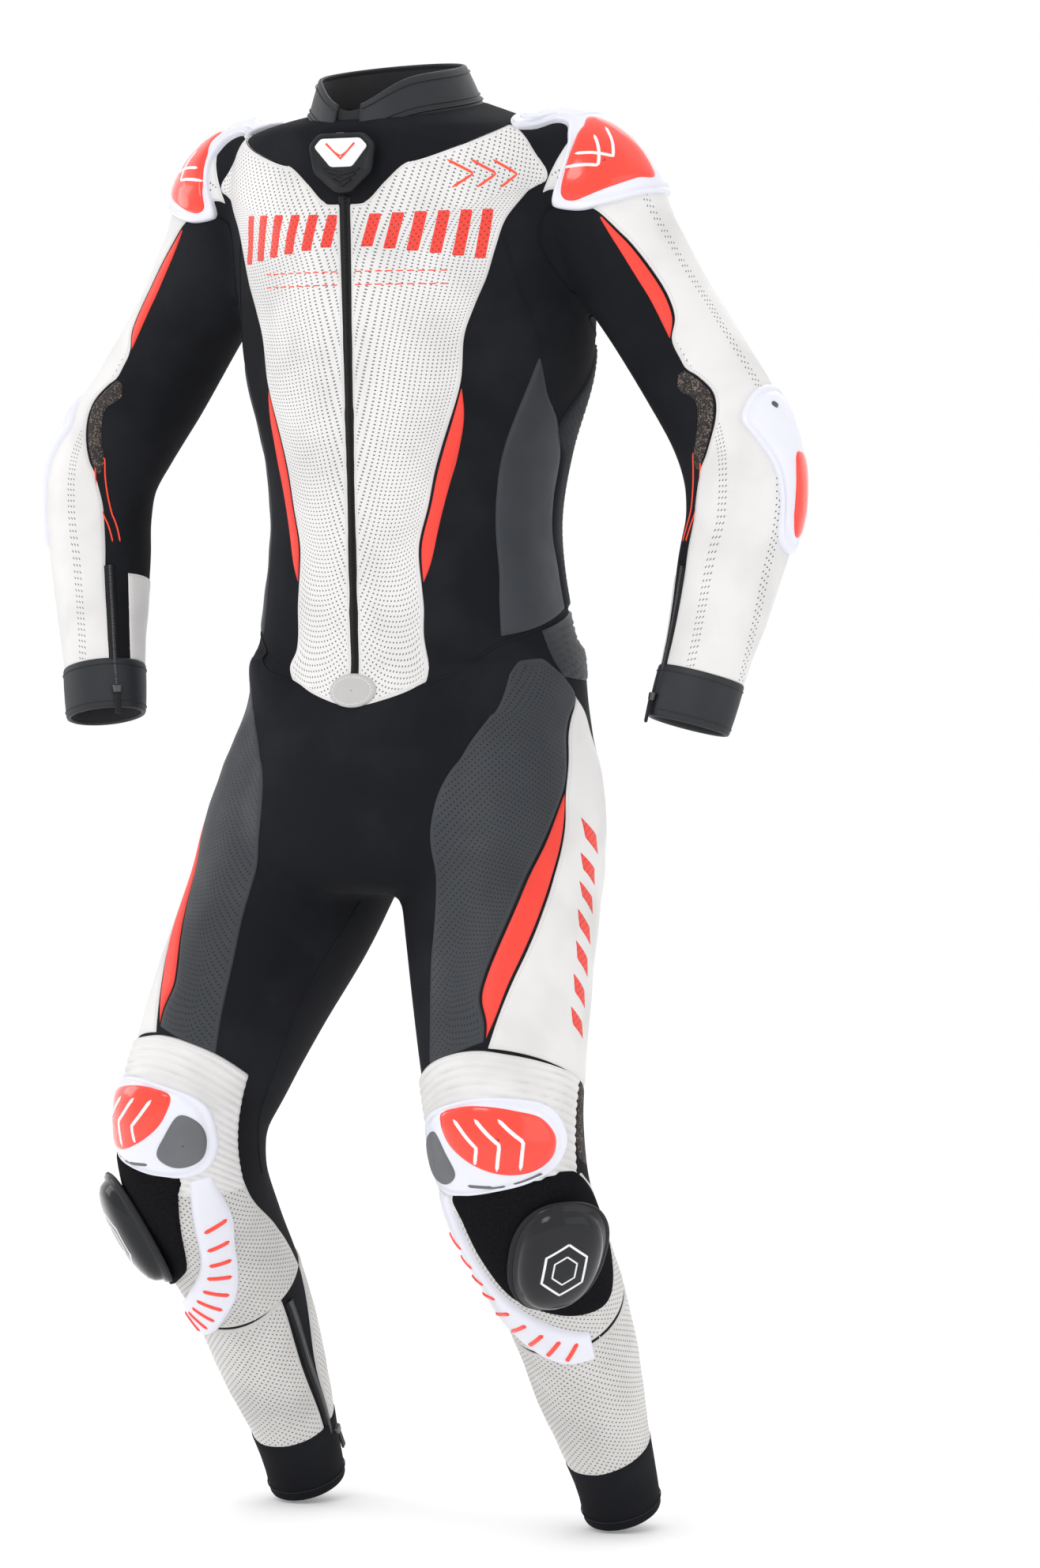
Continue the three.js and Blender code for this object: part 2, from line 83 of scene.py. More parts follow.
# Limb stations: centre x, y, z, half width, half depth (left side).
ARM = [
    [120, -14, 1352, 58, 58],
    [188, -8, 1340, 68, 68],
    [234, -2, 1272, 60, 62],
    [270, 2, 1217, 56, 58],
    [312, 3, 1154, 56, 57],
    [345, -2, 1105, 57, 56],
    [366, -12, 1060, 57, 53],
    [369, -17, 1012, 55, 49],
    [362, -25, 972, 53, 46],
    [354, -36, 918, 48, 41],
    [345, -48, 870, 43, 36],
    [334, -62, 812, 41, 32],
]
LEG = [
    [84, -5, 880, 86, 120],
    [84, 0, 810, 92, 118],
    [98, -12, 742, 102, 116],
    [113, -35, 680, 102, 110],
    [125, -58, 622, 96, 103],
    [145, -95, 547, 87, 95],
    [163, -125, 475, 79, 86],
    [178, -142, 415, 73, 79],
    [184, -128, 352, 69, 73],
    [186, -82, 290, 63, 68],
    [186, -27, 222, 58, 63],
    [185, 16, 150, 52, 58],
    [184, 48, 97, 45, 50],
    [185, 76, 46, 38, 43],
    [185, 92, 8, 37, 41],
]
ZIP_TOP, ZIP_BOTTOM = (-152, 1395), (-130, 872)  # y and z of the ends of the main zip


def front_y(z):
    share = (z - ZIP_BOTTOM[1]) / (ZIP_TOP[1] - ZIP_BOTTOM[1])
    return ZIP_BOTTOM[0] + share * (ZIP_TOP[0] - ZIP_BOTTOM[0])


# Torso stations: z, half width, front y, back y, tilt of the ring.
TORSO = [
    [1422, 82, -146, 54, 0.17],
    [1410, 132, -151, 62, 0.1],
    [1392, 170, front_y(1392), 74, 0.02],
    [1350, 190, front_y(1350), 100, 0],
    [1299, 196, front_y(1299), 124, 0],
    [1219, 190, front_y(1219), 140, 0],
    [1155, 182, front_y(1155), 142, 0],
    [1083, 160, front_y(1083), 132, 0],
    [1019, 150, front_y(1019), 122, 0],
    [963, 154, front_y(963), 118, 0],
    [899, 166, front_y(899), 122, 0],
    [862, 176, front_y(862), 127, 0],
    [819, 182, -140, 130, 0],
    [771, 192, -152, 128, 0],
    [731, 200, -164, 118, 0],
    [690, 202, -170, 100, 0],
    [655, 182, -158, 72, 0],
    [640, 130, -120, 30, 0],
]
STEPS = 24  # samples between two stations


def curve_through(stations):
    """Catmull-Rom curve through the stations, sampled densely."""
    p = np.array(stations, float)
    p = np.vstack([2 * p[0] - p[1], p, 2 * p[-1] - p[-2]])
    t = np.linspace(0, 1, STEPS, endpoint=False)[:, None]
    out = []
    for a, b, c, d in zip(p[:-3], p[1:-2], p[2:-1], p[3:]):
        cubic = (-a + 3 * b - 3 * c + d) * t**3
        out.append(0.5 * (2 * b + (c - a) * t + (2 * a - 5 * b + 4 * c - d) * t**2 + cubic))
    return np.vstack(out + [p[-2][None]])


class Tube:
    """A limb or the torso as elliptical rings, addressed by height and angle."""

    def __init__(self, stations, upright=False):
        if upright:
            stations = [[0, (f + b) / 2, z, w, (b - f) / 2, r] for z, w, f, b, r in stations]
        else:
            stations = [s + [0] for s in stations]
        rings = curve_through(stations)
        self.z = rings[:, 2].copy()
        centre = rings[:, :3] * MM
        centre[:, 2] -= HANGER_Z * MM
        along = np.gradient(centre, axis=0)
        along /= np.linalg.norm(along, axis=1)[:, None]
        if upright:
            across = np.tile([1.0, 0, 0], (len(rings), 1))
            back = np.c_[np.zeros(len(rings)), np.ones(len(rings)), rings[:, 5]]
        else:
            across = np.array([1.0, 0, 0]) - along * along[:, :1]
            across /= np.linalg.norm(across, axis=1)[:, None]
            back = np.cross(across, along)
        length = np.r_[0, np.cumsum(np.linalg.norm(np.diff(centre, axis=0), axis=1))]
        self.rows = np.c_[centre, across * rings[:, 3:4] * MM, back * rings[:, 4:5] * MM, length]

    def row(self, z):
        z = np.asarray(z, float)
        return np.stack([np.interp(-z, -self.z, c) for c in self.rows.T], -1)

    def centre(self, z):
        return self.row(z)[..., :3]

    def length(self, z):
        """Length along the tube down to height z."""
        return self.row(z)[..., 9]

    def at(self, z, angle):
        row, a = self.row(z), np.radians(angle)[..., None]
        return row[..., :3] + row[..., 3:6] * np.sin(a) - row[..., 6:9] * np.cos(a)

    def girth(self, z):
        """Mean radius at height z."""
        row = self.row(z)
        return (np.linalg.norm(row[..., 3:6], axis=-1) + np.linalg.norm(row[..., 6:9], axis=-1)) / 2


TUBES = {"torso": Tube(TORSO, upright=True), "arm": Tube(ARM), "leg": Tube(LEG)}


def mirrored(points, side):
    return points * np.array([SIDES[side], 1, 1])


def new_mesh(name, points, faces, smooth=True):
    mesh = bpy.data.meshes.new(name)
    mesh.from_pydata([tuple(p) for p in np.asarray(points)], [], [tuple(map(int, f)) for f in faces])
    mesh.update()
    if smooth:
        mesh.shade_smooth()
    made = bpy.data.objects.new(name, mesh)
    bpy.context.scene.collection.objects.link(made)
    return made


def grid_faces(rows, columns, closed=False):
    """Quads of a grid of points, whose columns may close on themselves."""
    r, c = np.meshgrid(np.arange(rows - 1), np.arange(columns if closed else columns - 1), indexing="ij")
    n = (c + 1) % columns
    return np.stack([r * columns + c, (r + 1) * columns + c, (r + 1) * columns + n, r * columns + n],
                    -1).reshape(-1, 4)


# ---- The body under the leather: torso, arms and legs run into one smooth skin ----

SKIN_VOXEL = 0.006
SKIN_SMOOTHING = 8


def skin_mesh():
    """Closed tubes for torso and limbs, merged by a voxel remesh and smoothed where they meet."""
    points, faces, start = [], [], 0
    turns = np.arange(0, 360, 6.0)
    for name, tube in TUBES.items():
        for side in ["left"] if name == "torso" else SIDES:
            z = np.linspace(tube.z[0], tube.z[-1], 140)
            ring = mirrored(tube.at(z[:, None], np.tile(turns, (len(z), 1))), side)
            ends = mirrored(tube.centre(z[[0, -1]]), side)
            count = len(turns)
            quads = grid_faces(len(z), count, closed=True)
            caps = [[len(z) * count, i, (i + 1) % count] for i in range(count)]
            last = (len(z) - 1) * count
            caps += [[len(z) * count + 1, last + (i + 1) % count, last + i] for i in range(count)]
            flip = slice(None, None, -1)
            turn = 1 if side == "right" else -1
            points.append(np.vstack([ring.reshape(-1, 3), ends]))
            faces += [list(np.array(f) + start)[flip if turn < 0 else slice(None)] for f in [*quads, *caps]]
            start += len(points[-1])
    body = new_mesh("skin", np.vstack(points), faces)
    remesh = body.modifiers.new("merge", "REMESH")
    remesh.mode = "VOXEL"
    remesh.voxel_size = SKIN_VOXEL
    remesh.use_smooth_shade = True
    smooth = body.modifiers.new("smooth", "SMOOTH")
    smooth.factor = 0.5
    smooth.iterations = SKIN_SMOOTHING
    bpy.context.view_layer.objects.active = body
    for modifier in ["merge", "smooth"]:
        bpy.ops.object.modifier_apply(modifier=modifier)
    return body


skin = skin_mesh()
skin_tree = BVHTree.FromPolygons([v.co[:] for v in skin.data.vertices],
                                 [p.vertices[:] for p in skin.data.polygons])


# ---- Placing things on the skin ----


def smooth_curve(points, count=None, step=None):
    """Catmull-Rom curve through rows of points, resampled to even steps or to a count."""
    p = np.array(points, float)
    if len(p) > 2:
        ends = np.vstack([2 * p[0] - p[1], p, 2 * p[-1] - p[-2]])
        t = np.linspace(0, 1, 12, endpoint=False)[:, None]
        runs = []
        for a, b, c, d in zip(ends[:-3], ends[1:-2], ends[2:-1], ends[3:]):
            cubic = (-a + 3 * b - 3 * c + d) * t**3
            runs.append(0.5 * (2 * b + (c - a) * t + (2 * a - 5 * b + 4 * c - d) * t**2 + cubic))
        p = np.vstack(runs + [p[-1][None]])
    length = np.r_[0, np.cumsum(np.linalg.norm(np.diff(p, axis=0), axis=1))]
    count = count or max(2, int(length[-1] / step) + 1)
    return np.stack([np.interp(np.linspace(0, length[-1], count), length, c) for c in p.T], -1)


class Plane:
    """A tube's surface opened flat: x is millimetres round the tube and y millimetres along it."""

    def __init__(self, name):
        self.tube = TUBES[name]
        self.z = self.tube.z
        self.length = self.tube.length(self.z) / MM

    def flat(self, outline):
        """(z, angle) to (length along, angle scaled by a fixed radius), so that both are lengths."""
        o = np.array(outline, float)
        return np.stack([np.interp(-o[:, 0], -self.z, self.length), np.radians(o[:, 1]) * FLAT_RADIUS], -1)

    def round(self, flat):
        """The reverse: heights and angles of flat points."""
        return np.interp(flat[..., 0], self.length, self.z), np.degrees(flat[..., 1] / FLAT_RADIUS)


FLAT_RADIUS = 80  # millimetres; only weighs angles against lengths when outlines are interpolated
PLANES = {name: Plane(name) for name in TUBES}


def cast(tube, flat, tree, outermost=False):
    """Points where rays from the tube's centre line through flat points leave the tree's surface."""
    z, angle = PLANES[tube].round(flat)
    centre, aim = TUBES[tube].centre(z), TUBES[tube].at(z, angle)
    shape = aim.shape
    found = aim.reshape(-1, 3).copy()
    for i, (c, p) in enumerate(zip(centre.reshape(-1, 3), aim.reshape(-1, 3))):
        ray = Vector(p - c)
        if outermost:
            start = Vector(p) + ray
            hit = tree.ray_cast(start, -ray)[0]
        else:
            hit = tree.ray_cast(Vector(c), ray)[0]
        if hit is not None:
            found[i] = hit
    return found.reshape(shape), centre


def relaxed(grid, passes=2):
    """Evens out the small facets that a ray-cast picks up, keeping the rim in place."""
    for _ in range(passes):
        inner = (grid[:-2, 1:-1] + grid[2:, 1:-1] + grid[1:-1, :-2] + grid[1:-1, 2:]) / 4
        grid[1:-1, 1:-1] = (grid[1:-1, 1:-1] + inner) / 2
    return grid


def outward(grid, centre):
    """Unit normals of a grid, facing away from the centre line."""
    normal = np.cross(np.gradient(grid, axis=1), np.gradient(grid, axis=0))
    normal /= np.linalg.norm(normal, axis=-1, keepdims=True) + 1e-12
    facing = np.sign(np.sum(normal * (grid - centre), -1, keepdims=True))
    return normal * np.where(facing == 0, 1, facing)


def lattice(points, cell, seed):
    """Smooth value noise from -1 to 1."""
    table = np.random.default_rng(seed).uniform(-1, 1, (32, 32, 32))
    p = points / cell
    base = np.floor(p).astype(int)
    f = p - base
    f = f * f * (3 - 2 * f)
    total = 0
    for dx in (0, 1):
        for dy in (0, 1):
            for dz in (0, 1):
                corner = table[(base[..., 0] + dx) % 32, (base[..., 1] + dy) % 32, (base[..., 2] + dz) % 32]
                weight = np.where(dx, f[..., 0], 1 - f[..., 0]) * np.where(dy, f[..., 1], 1 - f[..., 1])
                total = total + corner * weight * np.where(dz, f[..., 2], 1 - f[..., 2])
    return total


def spans(grid):
    """Distance of each grid point from the left, right, top and bottom edges, along the surface."""
    across = np.linalg.norm(np.diff(grid, axis=1), axis=-1)
    across = np.concatenate([np.zeros((len(grid), 1)), np.cumsum(across, 1)], 1)
    down = np.linalg.norm(np.diff(grid, axis=0), axis=-1)
    down = np.concatenate([np.zeros((1, grid.shape[1])), np.cumsum(down, 0)], 0)
    return across, across[:, -1:] - across, down, down[-1:] - down


GRID_STEP = 3.0  # millimetres between a panel's grid points
PANEL_LIFT = 1.6 * MM
PANEL_TUCK = 1.6 * MM
SEAM_ROLL = 2.2 * MM  # how fast a panel rises from its seam
CREASE = 0.8 * MM
CREASE_CELL = 0.035


def drift(grid, inset=6):
    """How far each row's start lies along its own direction, which keeps lengths from an edge unsheared."""
    edge = grid[:, inset]
    along = grid[:, inset + 2] - edge
    along /= np.linalg.norm(along, axis=1)[:, None]
    steps = (np.diff(edge, axis=0) * along[:-1]).sum(1)
    return np.concatenate([[0.0], np.cumsum(steps)])


def grid_object(name, grid, side, edges):
    """Mesh of a grid, with lengths as UVs and the distance to the edges as attributes."""
    rows, columns = grid.shape[:2]
    faces = grid_faces(rows, columns)
    points = mirrored(grid, side).reshape(-1, 3)
    if SIDES[side] < 0:
        faces = faces[:, ::-1]
    made = new_mesh(name, points, faces)
    left, right, top, bottom = edges
    u, v = (left - right) / 2, top
    if min(rows, columns) > 12:
        u, v = left + drift(grid)[:, None], top + drift(grid.transpose(1, 0, 2))[None, :]
    layer = made.data.uv_layers.new(name="UVMap")
    corner = np.empty(len(made.data.loops), int)
    made.data.loops.foreach_get("vertex_index", corner)
    layer.data.foreach_set("uv", np.stack([u.ravel()[corner], v.ravel()[corner]],
                                          -1).ravel().astype(np.float32))
    for attribute, value in [("side_edge", np.minimum(left, right)), ("end_edge", np.minimum(top, bottom))]:
        layer = made.data.attributes.new(attribute, "FLOAT", "POINT")
        layer.data.foreach_set("value", value.ravel().astype(np.float32))
    return made


def face_outward(made, centre_points):
    """Turns the mesh inside out if its faces look inwards."""
    total = 0.0
    for polygon, centre in zip(made.data.polygons, centre_points):
        total += polygon.normal.dot(polygon.center - Vector(centre))
    if total < 0:
        made.data.flip_normals()


def coons(tube, left, right, top=None, bottom=None, step=GRID_STEP):
    """Flat grid filled between four edges. Left and right run down, top and bottom run left to right."""
    plane = PLANES[tube]
    left, right = plane.flat(left), plane.flat(right)
    top = plane.flat(top) if top else np.array([left[0], right[0]])
    bottom = plane.flat(bottom) if bottom else np.array([left[-1], right[-1]])
    girth = TUBES[tube].girth(plane.round(left[len(left) // 2])[0]) / MM / FLAT_RADIUS
    scale = np.array([1, girth])
    tall = max(np.linalg.norm(np.diff(edge * scale, axis=0), axis=1).sum() for edge in (left, right))
    wide = max(np.linalg.norm(np.diff(edge * scale, axis=0), axis=1).sum() for edge in (top, bottom))
    widest = np.abs(smooth_curve(left, 40)[:, 1] - smooth_curve(right, 40)[:, 1]).max() * girth
    rows, columns = max(4, int(tall / step)), max(4, int(max(widest, wide) / step))
    t, b = smooth_curve(top, columns), smooth_curve(bottom, columns)
    l, r = smooth_curve(left, rows), smooth_curve(right, rows)
    u, v = np.linspace(0, 1, columns)[None, :, None], np.linspace(0, 1, rows)[:, None, None]
    corners = (1 - v) * ((1 - u) * l[0] + u * r[0]) + v * ((1 - u) * l[-1] + u * r[-1])
    return (1 - v) * t[None] + v * b[None] + (1 - u) * l[:, None] + u * r[:, None] - corners


def panel(name, tube, left, right, material, top=None, bottom=None, side="left", lift=PANEL_LIFT,
          tuck=PANEL_TUCK,
          ribs=None, crease=CREASE, turn=0, tree=None, step=GRID_STEP, roll=SEAM_ROLL):
    """A sewn piece on the skin: its rim is turned under, and its face stands proud by lift.
    ribs is (pitch, height) in millimetres; turn shifts all its angles, in degrees."""
    flat = coons(tube, left, right, top, bottom, step)
    flat[..., 1] += math.radians(turn) * FLAT_RADIUS
    grid, centre = cast(tube, flat, tree or skin_tree, outermost=tree is not None)
    grid = relaxed(grid)
    edges = spans(grid)
    near = np.minimum.reduce(edges)[..., None]
    normal = outward(grid, centre)
    height = lift * (1 - np.exp(-near / roll)) - tuck * np.exp(-near / (0.5 * roll))
    fade = 1 - np.exp(-near / (8 * MM))
    if crease:
        height = height + crease * fade * lattice(grid * [1, 1, 1.6], CREASE_CELL, 7)[..., None]
        height = height + 0.35 * crease * fade * lattice(grid, CREASE_CELL / 2.7, 8)[..., None]
    if ribs:
        pitch, rib = ribs[0] * MM, ribs[1] * MM
        wave = np.abs(np.sin(np.pi * edges[2] / pitch)) ** 0.7
        rim_fade = 1 - np.exp(-np.minimum(edges[0], edges[1]) / (3 * MM))
        height = height + rib * wave[..., None] * rim_fade[..., None]
    grid = grid + normal * height
    made = grid_object(name, grid, side, edges)
    face_outward(made, [mirrored(c, side) for c in (centre[:-1, :-1] * 1.0).reshape(-1, 3)])
    made.data.materials.append(material)
    return made


def plate(name, tube, outline, layers, material, side="left", turn=0, centre_at=None, rings=10, step=2.5,
          tree=None,
          smooth=True):
    """A moulded piece bounded by a closed outline of (z, angle) points.
    layers is a list of (share of the way in from the rim, height in mm), joined by a smooth profile."""
    plane = PLANES[tube]
    flat = plane.flat(outline)
    flat[:, 1] += math.radians(turn) * FLAT_RADIUS
    middle = flat.mean(0) if centre_at is None else plane.flat([centre_at])[0]
    loop = np.vstack([flat[-1], flat, flat[:2]])
    if smooth:
        t = np.linspace(0, 1, 8, endpoint=False)[:, None]
        runs = []
        for a, b, c, d in zip(loop[:-3], loop[1:-2], loop[2:-1], loop[3:]):
            cubic = (-a + 3 * b - 3 * c + d) * t**3
            runs.append(0.5 * (2 * b + (c - a) * t + (2 * a - 5 * b + 4 * c - d) * t**2 + cubic))
        loop = np.vstack(runs)
    else:
        loop = flat
    closed = np.vstack([loop, loop[:1]])
    length = np.r_[0, np.cumsum(np.linalg.norm(np.diff(closed, axis=0), axis=1))]
    count = max(24, int(length[-1] / step))
    loop = np.stack([np.interp(np.linspace(0, length[-1], count, endpoint=False), length, c)
                     for c in closed.T], -1)
    shares = np.array([share for share, _ in layers])
    heights = np.array([height for _, height in layers])
    inner = np.linspace(shares[-1], 0.97, rings)[1:]
    shares, heights = np.r_[shares, inner], np.r_[heights, np.full(len(inner), heights[-1])]
    grid = loop[None] + (middle - loop)[None] * shares[:, None, None]
    points, centre = cast(tube, np.vstack([grid.reshape(-1, 2), middle[None]]), tree or skin_tree,
                          outermost=tree is not None)
    away = points - centre
    away /= np.linalg.norm(away, axis=-1, keepdims=True)
    points = points + away * np.r_[np.repeat(heights, count), heights[-1]][:, None] * MM
    faces = [list(f) for f in grid_faces(len(shares), count, closed=True)]
    last = (len(shares) - 1) * count
    faces += [[last + i, last + (i + 1) % count, len(points) - 1] for i in range(count)]
    made = new_mesh(name, mirrored(points, side), faces)
    face_outward(made, [mirrored(centre[min(f[0], len(centre) - 1)], side) for f in faces])
    made.data.materials.append(material)
    return made


def ribbon(name, tube, path, width, height, material, side="left", turn=0, tree=None, smooth=True, lift=0.0,
           dashes=None, taper=True):
    """A raised strip along a path of (z, angle) points: a seam, cord, drawn line or row of stitches.
    width, height and lift are in mm; dashes is (dash, pitch) in mm."""
    flat = PLANES[tube].flat(path)
    flat[:, 1] += math.radians(turn) * FLAT_RADIUS
    step = 1.0 if dashes else 2.5
    if smooth:
        flat = smooth_curve(flat, step=step)
    else:
        flat = np.vstack([smooth_curve(flat[i:i + 2], step=step)[:-1]
                          for i in range(len(flat) - 1)] + [flat[-1:]])
    line, centre = cast(tube, flat, tree or skin_tree, outermost=tree is not None)
    away = line - centre
    away /= np.linalg.norm(away, axis=-1, keepdims=True)
    length = np.r_[0, np.cumsum(np.linalg.norm(np.diff(line, axis=0), axis=1))]
    tangent = np.gradient(line, axis=0)
    tangent /= np.linalg.norm(tangent, axis=-1, keepdims=True)
    across = np.cross(tangent, away)
    across /= np.linalg.norm(across, axis=-1, keepdims=True)
    turns = np.linspace(0, 2 * np.pi, 9)[:-1]
    points, faces = [], []
    runs = [(0, length[-1])]
    if dashes:
        dash, pitch = dashes[0] * MM, dashes[1] * MM
        runs = [(s, s + dash) for s in np.arange(0, length[-1] - dash, pitch)]
    for low, high in runs:
        at = np.linspace(low, high, 4 if dashes else max(3, len(line)))
        mid, out, cross = (np.stack([np.interp(at, length, c) for c in v.T], -1)
                           for v in (line, away, across))
        size = np.ones(len(at))
        if taper:
            size = np.clip(np.minimum(at - low, high - at) / (0.4 * width * MM) + 0.05, 0.05, 1) ** 0.5
        start = len(points) * len(turns)
        for m, o, c, k in zip(mid, out, cross, size):
            sideways = np.outer(np.cos(turns), c) * width / 2 * MM * k
            outward = np.outer(np.sin(turns), o) * height * MM * k
            ring = m + o * lift * MM + sideways + outward
            points.append(ring)
        faces += [[start + i for i in f] for f in grid_faces(len(at), len(turns), closed=True)]
        end = start + (len(at) - 1) * len(turns)
        faces.append([start + i for i in range(len(turns))][::-1])
        faces.append([end + i for i in range(len(turns))])
    points = np.vstack(points)
    made = new_mesh(name, mirrored(points, side), faces)
    fix_normals(made)
    made.data.materials.append(material)
    return made


def fix_normals(made):
    """Makes all faces of closed bodies look outwards."""
    mesh = bmesh.new()
    mesh.from_mesh(made.data)
    bmesh.ops.recalc_face_normals(mesh, faces=mesh.faces)
    mesh.to_mesh(made.data)
    mesh.free()


# ---- Materials ----


class Paint:
    """A procedural material, built a node at a time round its shader."""

    def __init__(self, name, colour, roughness, **sockets):
        self.material = bpy.data.materials.new(name)
        self.material.use_nodes = True
        self.tree = self.material.node_tree
        self.shader = self.tree.nodes["Principled BSDF"]
        self.colour = (*colour, 1)
        self.shader.inputs["Base Color"].default_value = self.colour
        self.shader.inputs["Roughness"].default_value = roughness
        for socket, value in sockets.items():
            self.shader.inputs[socket.replace("_", " ")].default_value = value
        self.material.diffuse_color = self.colour

    def node(self, kind, inputs=(), output=0, **settings):
        made = self.tree.nodes.new("ShaderNode" + kind)
        for key, value in settings.items():
            setattr(made, key, value)
        pairs = inputs.items() if isinstance(inputs, dict) else enumerate(inputs)
        for key, value in pairs:
            if isinstance(value, bpy.types.NodeSocket):
                self.tree.links.new(value, made.inputs[key])
            else:
                made.inputs[key].default_value = value
        return made.outputs[output]

    def math(self, operation, *inputs):
        return self.node("Math", inputs, operation=operation)

    def ramp(self, value, low, high, start=0.0, end=1.0):
        """value from low to high gives start to end, smoothly."""
        return self.node("MapRange", {0: value, 1: low, 2: high, 3: start, 4: end},
                         interpolation_type="SMOOTHSTEP")

    def mix(self, factor, a, b):
        return self.node("Mix", {0: factor, 6: a, 7: b}, output=2, data_type="RGBA")

    def place(self):
        return self.node("TexCoord", output=3)

    def noise(self, scale, detail=2.0):
        return self.node("TexNoise", {"Vector": self.place(), "Scale": scale, "Detail": detail})

    def attribute(self, name):
        return self.node("Attribute", output=2, attribute_name=name)

    def paint(self, colour):
        self.tree.links.new(colour, self.shader.inputs["Base Color"])

    def gloss(self, roughness):
        self.tree.links.new(roughness, self.shader.inputs["Roughness"])

    def relief(self, height, depth, strength=1.0):
        bump = self.node("Bump", {"Height": height, "Distance": depth, "Strength": strength})
        self.tree.links.new(bump, self.shader.inputs["Normal"])


HOLE_PITCH, HOLE_SIZE = 0.0047, 0.00085
STITCH_INSET, STITCH_PITCH = 0.0042, 0.0034


def leather(name, colour, holes=False, roughness=0.46, grain=0.35, hole_depth=0.55, hole_colour=None,
            rows=False,
            stitched=True, margin=0.0055, **sockets):
    """Grained hide with a stitched rim. holes adds a staggered perforation, rows keeps it to columns."""
    p = Paint(name, colour, roughness, **sockets)
    uv = p.node("UVMap", uv_map="UVMap")
    grains = p.node("TexVoronoi", {"Vector": p.place(), "Scale": 900.0}, feature="F1")
    blotch = p.noise(14.0)
    height = p.math("MULTIPLY", grains, grain)
    dark = tuple(c * 0.86 for c in colour)
    shade = p.mix(p.ramp(blotch, 0.35, 0.75), (*colour, 1), (*dark, 1))
    side, end = p.attribute("side_edge"), p.attribute("end_edge")
    rim = p.math("MINIMUM", side, end)
    # Painted shade, with some seam grime: the colour darkens towards each panel's edge over the last 3 mm
    # before the seam.
    shade = p.mix(p.ramp(rim, 0.0, 0.003, 0.55, 0.0), shade, (*(c * 0.35 for c in colour), 1))
    if stitched:
        xy = p.node("SeparateXYZ", [uv]).node
        masks = []
        for edge, run in ((side, xy.outputs[1]), (end, xy.outputs[0])):
            off = p.math("ABSOLUTE", p.math("SUBTRACT", edge, STITCH_INSET))
            on_line = p.ramp(off, 0.0003, 0.0007, 1.0, 0.0)
            dash = p.math("LESS_THAN", p.math("FRACT", p.math("DIVIDE", run, STITCH_PITCH)), 0.7)
            masks.append(p.math("MULTIPLY", on_line, dash))
            groove = p.ramp(off, 0.0, 0.0016, 0.9, 0.0)
            height = p.math("SUBTRACT", height, groove)
        stitch = p.math("MAXIMUM", *masks)
        height = p.math("ADD", height, p.math("MULTIPLY", stitch, 1.2))
        thread = tuple(min(1, c * 0.8 + 0.02) for c in colour)
        shade = p.mix(stitch, shade, (*thread, 1))
    if holes:
        turned = p.node("Mapping", {"Vector": uv, "Rotation": (0, 0, math.pi / 4),
                                    "Scale": (1 / HOLE_PITCH,) * 3})
        cell = p.node("VectorMath", [turned], operation="FRACTION")
        off = p.node("VectorMath", [cell, (0.5, 0.5, 0.0)], operation="SUBTRACT")
        flat = p.node("VectorMath", [off, (1.0, 1.0, 0.0)], operation="MULTIPLY")
        reach = p.node("VectorMath", [flat], output=1, operation="LENGTH")
        size = HOLE_SIZE / HOLE_PITCH
        hole = p.ramp(reach, size * 0.8, size * 1.25, 1.0, 0.0)
        hole = p.math("MULTIPLY", hole, p.ramp(rim, margin, margin + 0.001))
        if rows:
            across = p.node("SeparateXYZ", [uv]).node.outputs[0]
            column = p.math("FRACT", p.math("DIVIDE", across, 0.055))
            band = p.math("LESS_THAN", p.math("ABSOLUTE", p.math("SUBTRACT", column, 0.5)), 0.09)
            hole = p.math("MULTIPLY", hole, band)
        height = p.math("SUBTRACT", height, p.math("MULTIPLY", hole, 2.0))
        shade = p.mix(p.math("MULTIPLY", hole, hole_depth * 1.6), shade,
                      (*(hole_colour or (0.03, 0.03, 0.035)), 1))
    p.paint(shade)
    p.gloss(p.ramp(blotch, 0.2, 0.8, roughness - 0.05, roughness + 0.08))
    p.relief(height, 0.0004, 0.5)
    return p.material


def fabric(name, colour, pitch=0.0011, roughness=0.85, **sockets):
    """Fine knitted stretch fabric."""
    p = Paint(name, colour, roughness, **sockets)
    xyz = p.node("SeparateXYZ", [p.place()]).node
    wales = p.math("SINE", p.math("MULTIPLY", p.math("ADD", xyz.outputs[0], xyz.outputs[1]),
                                  2 * math.pi / pitch))
    courses = p.math("SINE", p.math("MULTIPLY", xyz.outputs[2], 2 * math.pi / (pitch * 0.8)))
    loops = p.math("MULTIPLY", wales, courses)
    cloud = p.noise(9.0, 4.0)
    light = tuple(min(1, c * 1.5 + 0.002) for c in colour)
    p.paint(p.mix(p.ramp(cloud, 0.4, 0.7), (*colour, 1), (*light, 1)))
    p.relief(loops, 0.0002, 0.35)
    return p.material


def moulded(name, colour, roughness, speck=0.03, **sockets):
    """Moulded plastic or rubber with a faint orange-peel and slightly uneven gloss."""
    p = Paint(name, colour, roughness, **sockets)
    peel, cloud = p.noise(420.0), p.noise(22.0, 3.0)
    dark = tuple(c * (1 - 3 * speck) for c in colour)
    p.paint(p.mix(p.ramp(cloud, 0.35, 0.7), (*colour, 1), (*dark, 1)))
    p.gloss(p.ramp(cloud, 0.2, 0.8, max(0.03, roughness - 0.04), roughness + 0.06))
    p.relief(peel, 0.0002, 0.15)
    return p.material


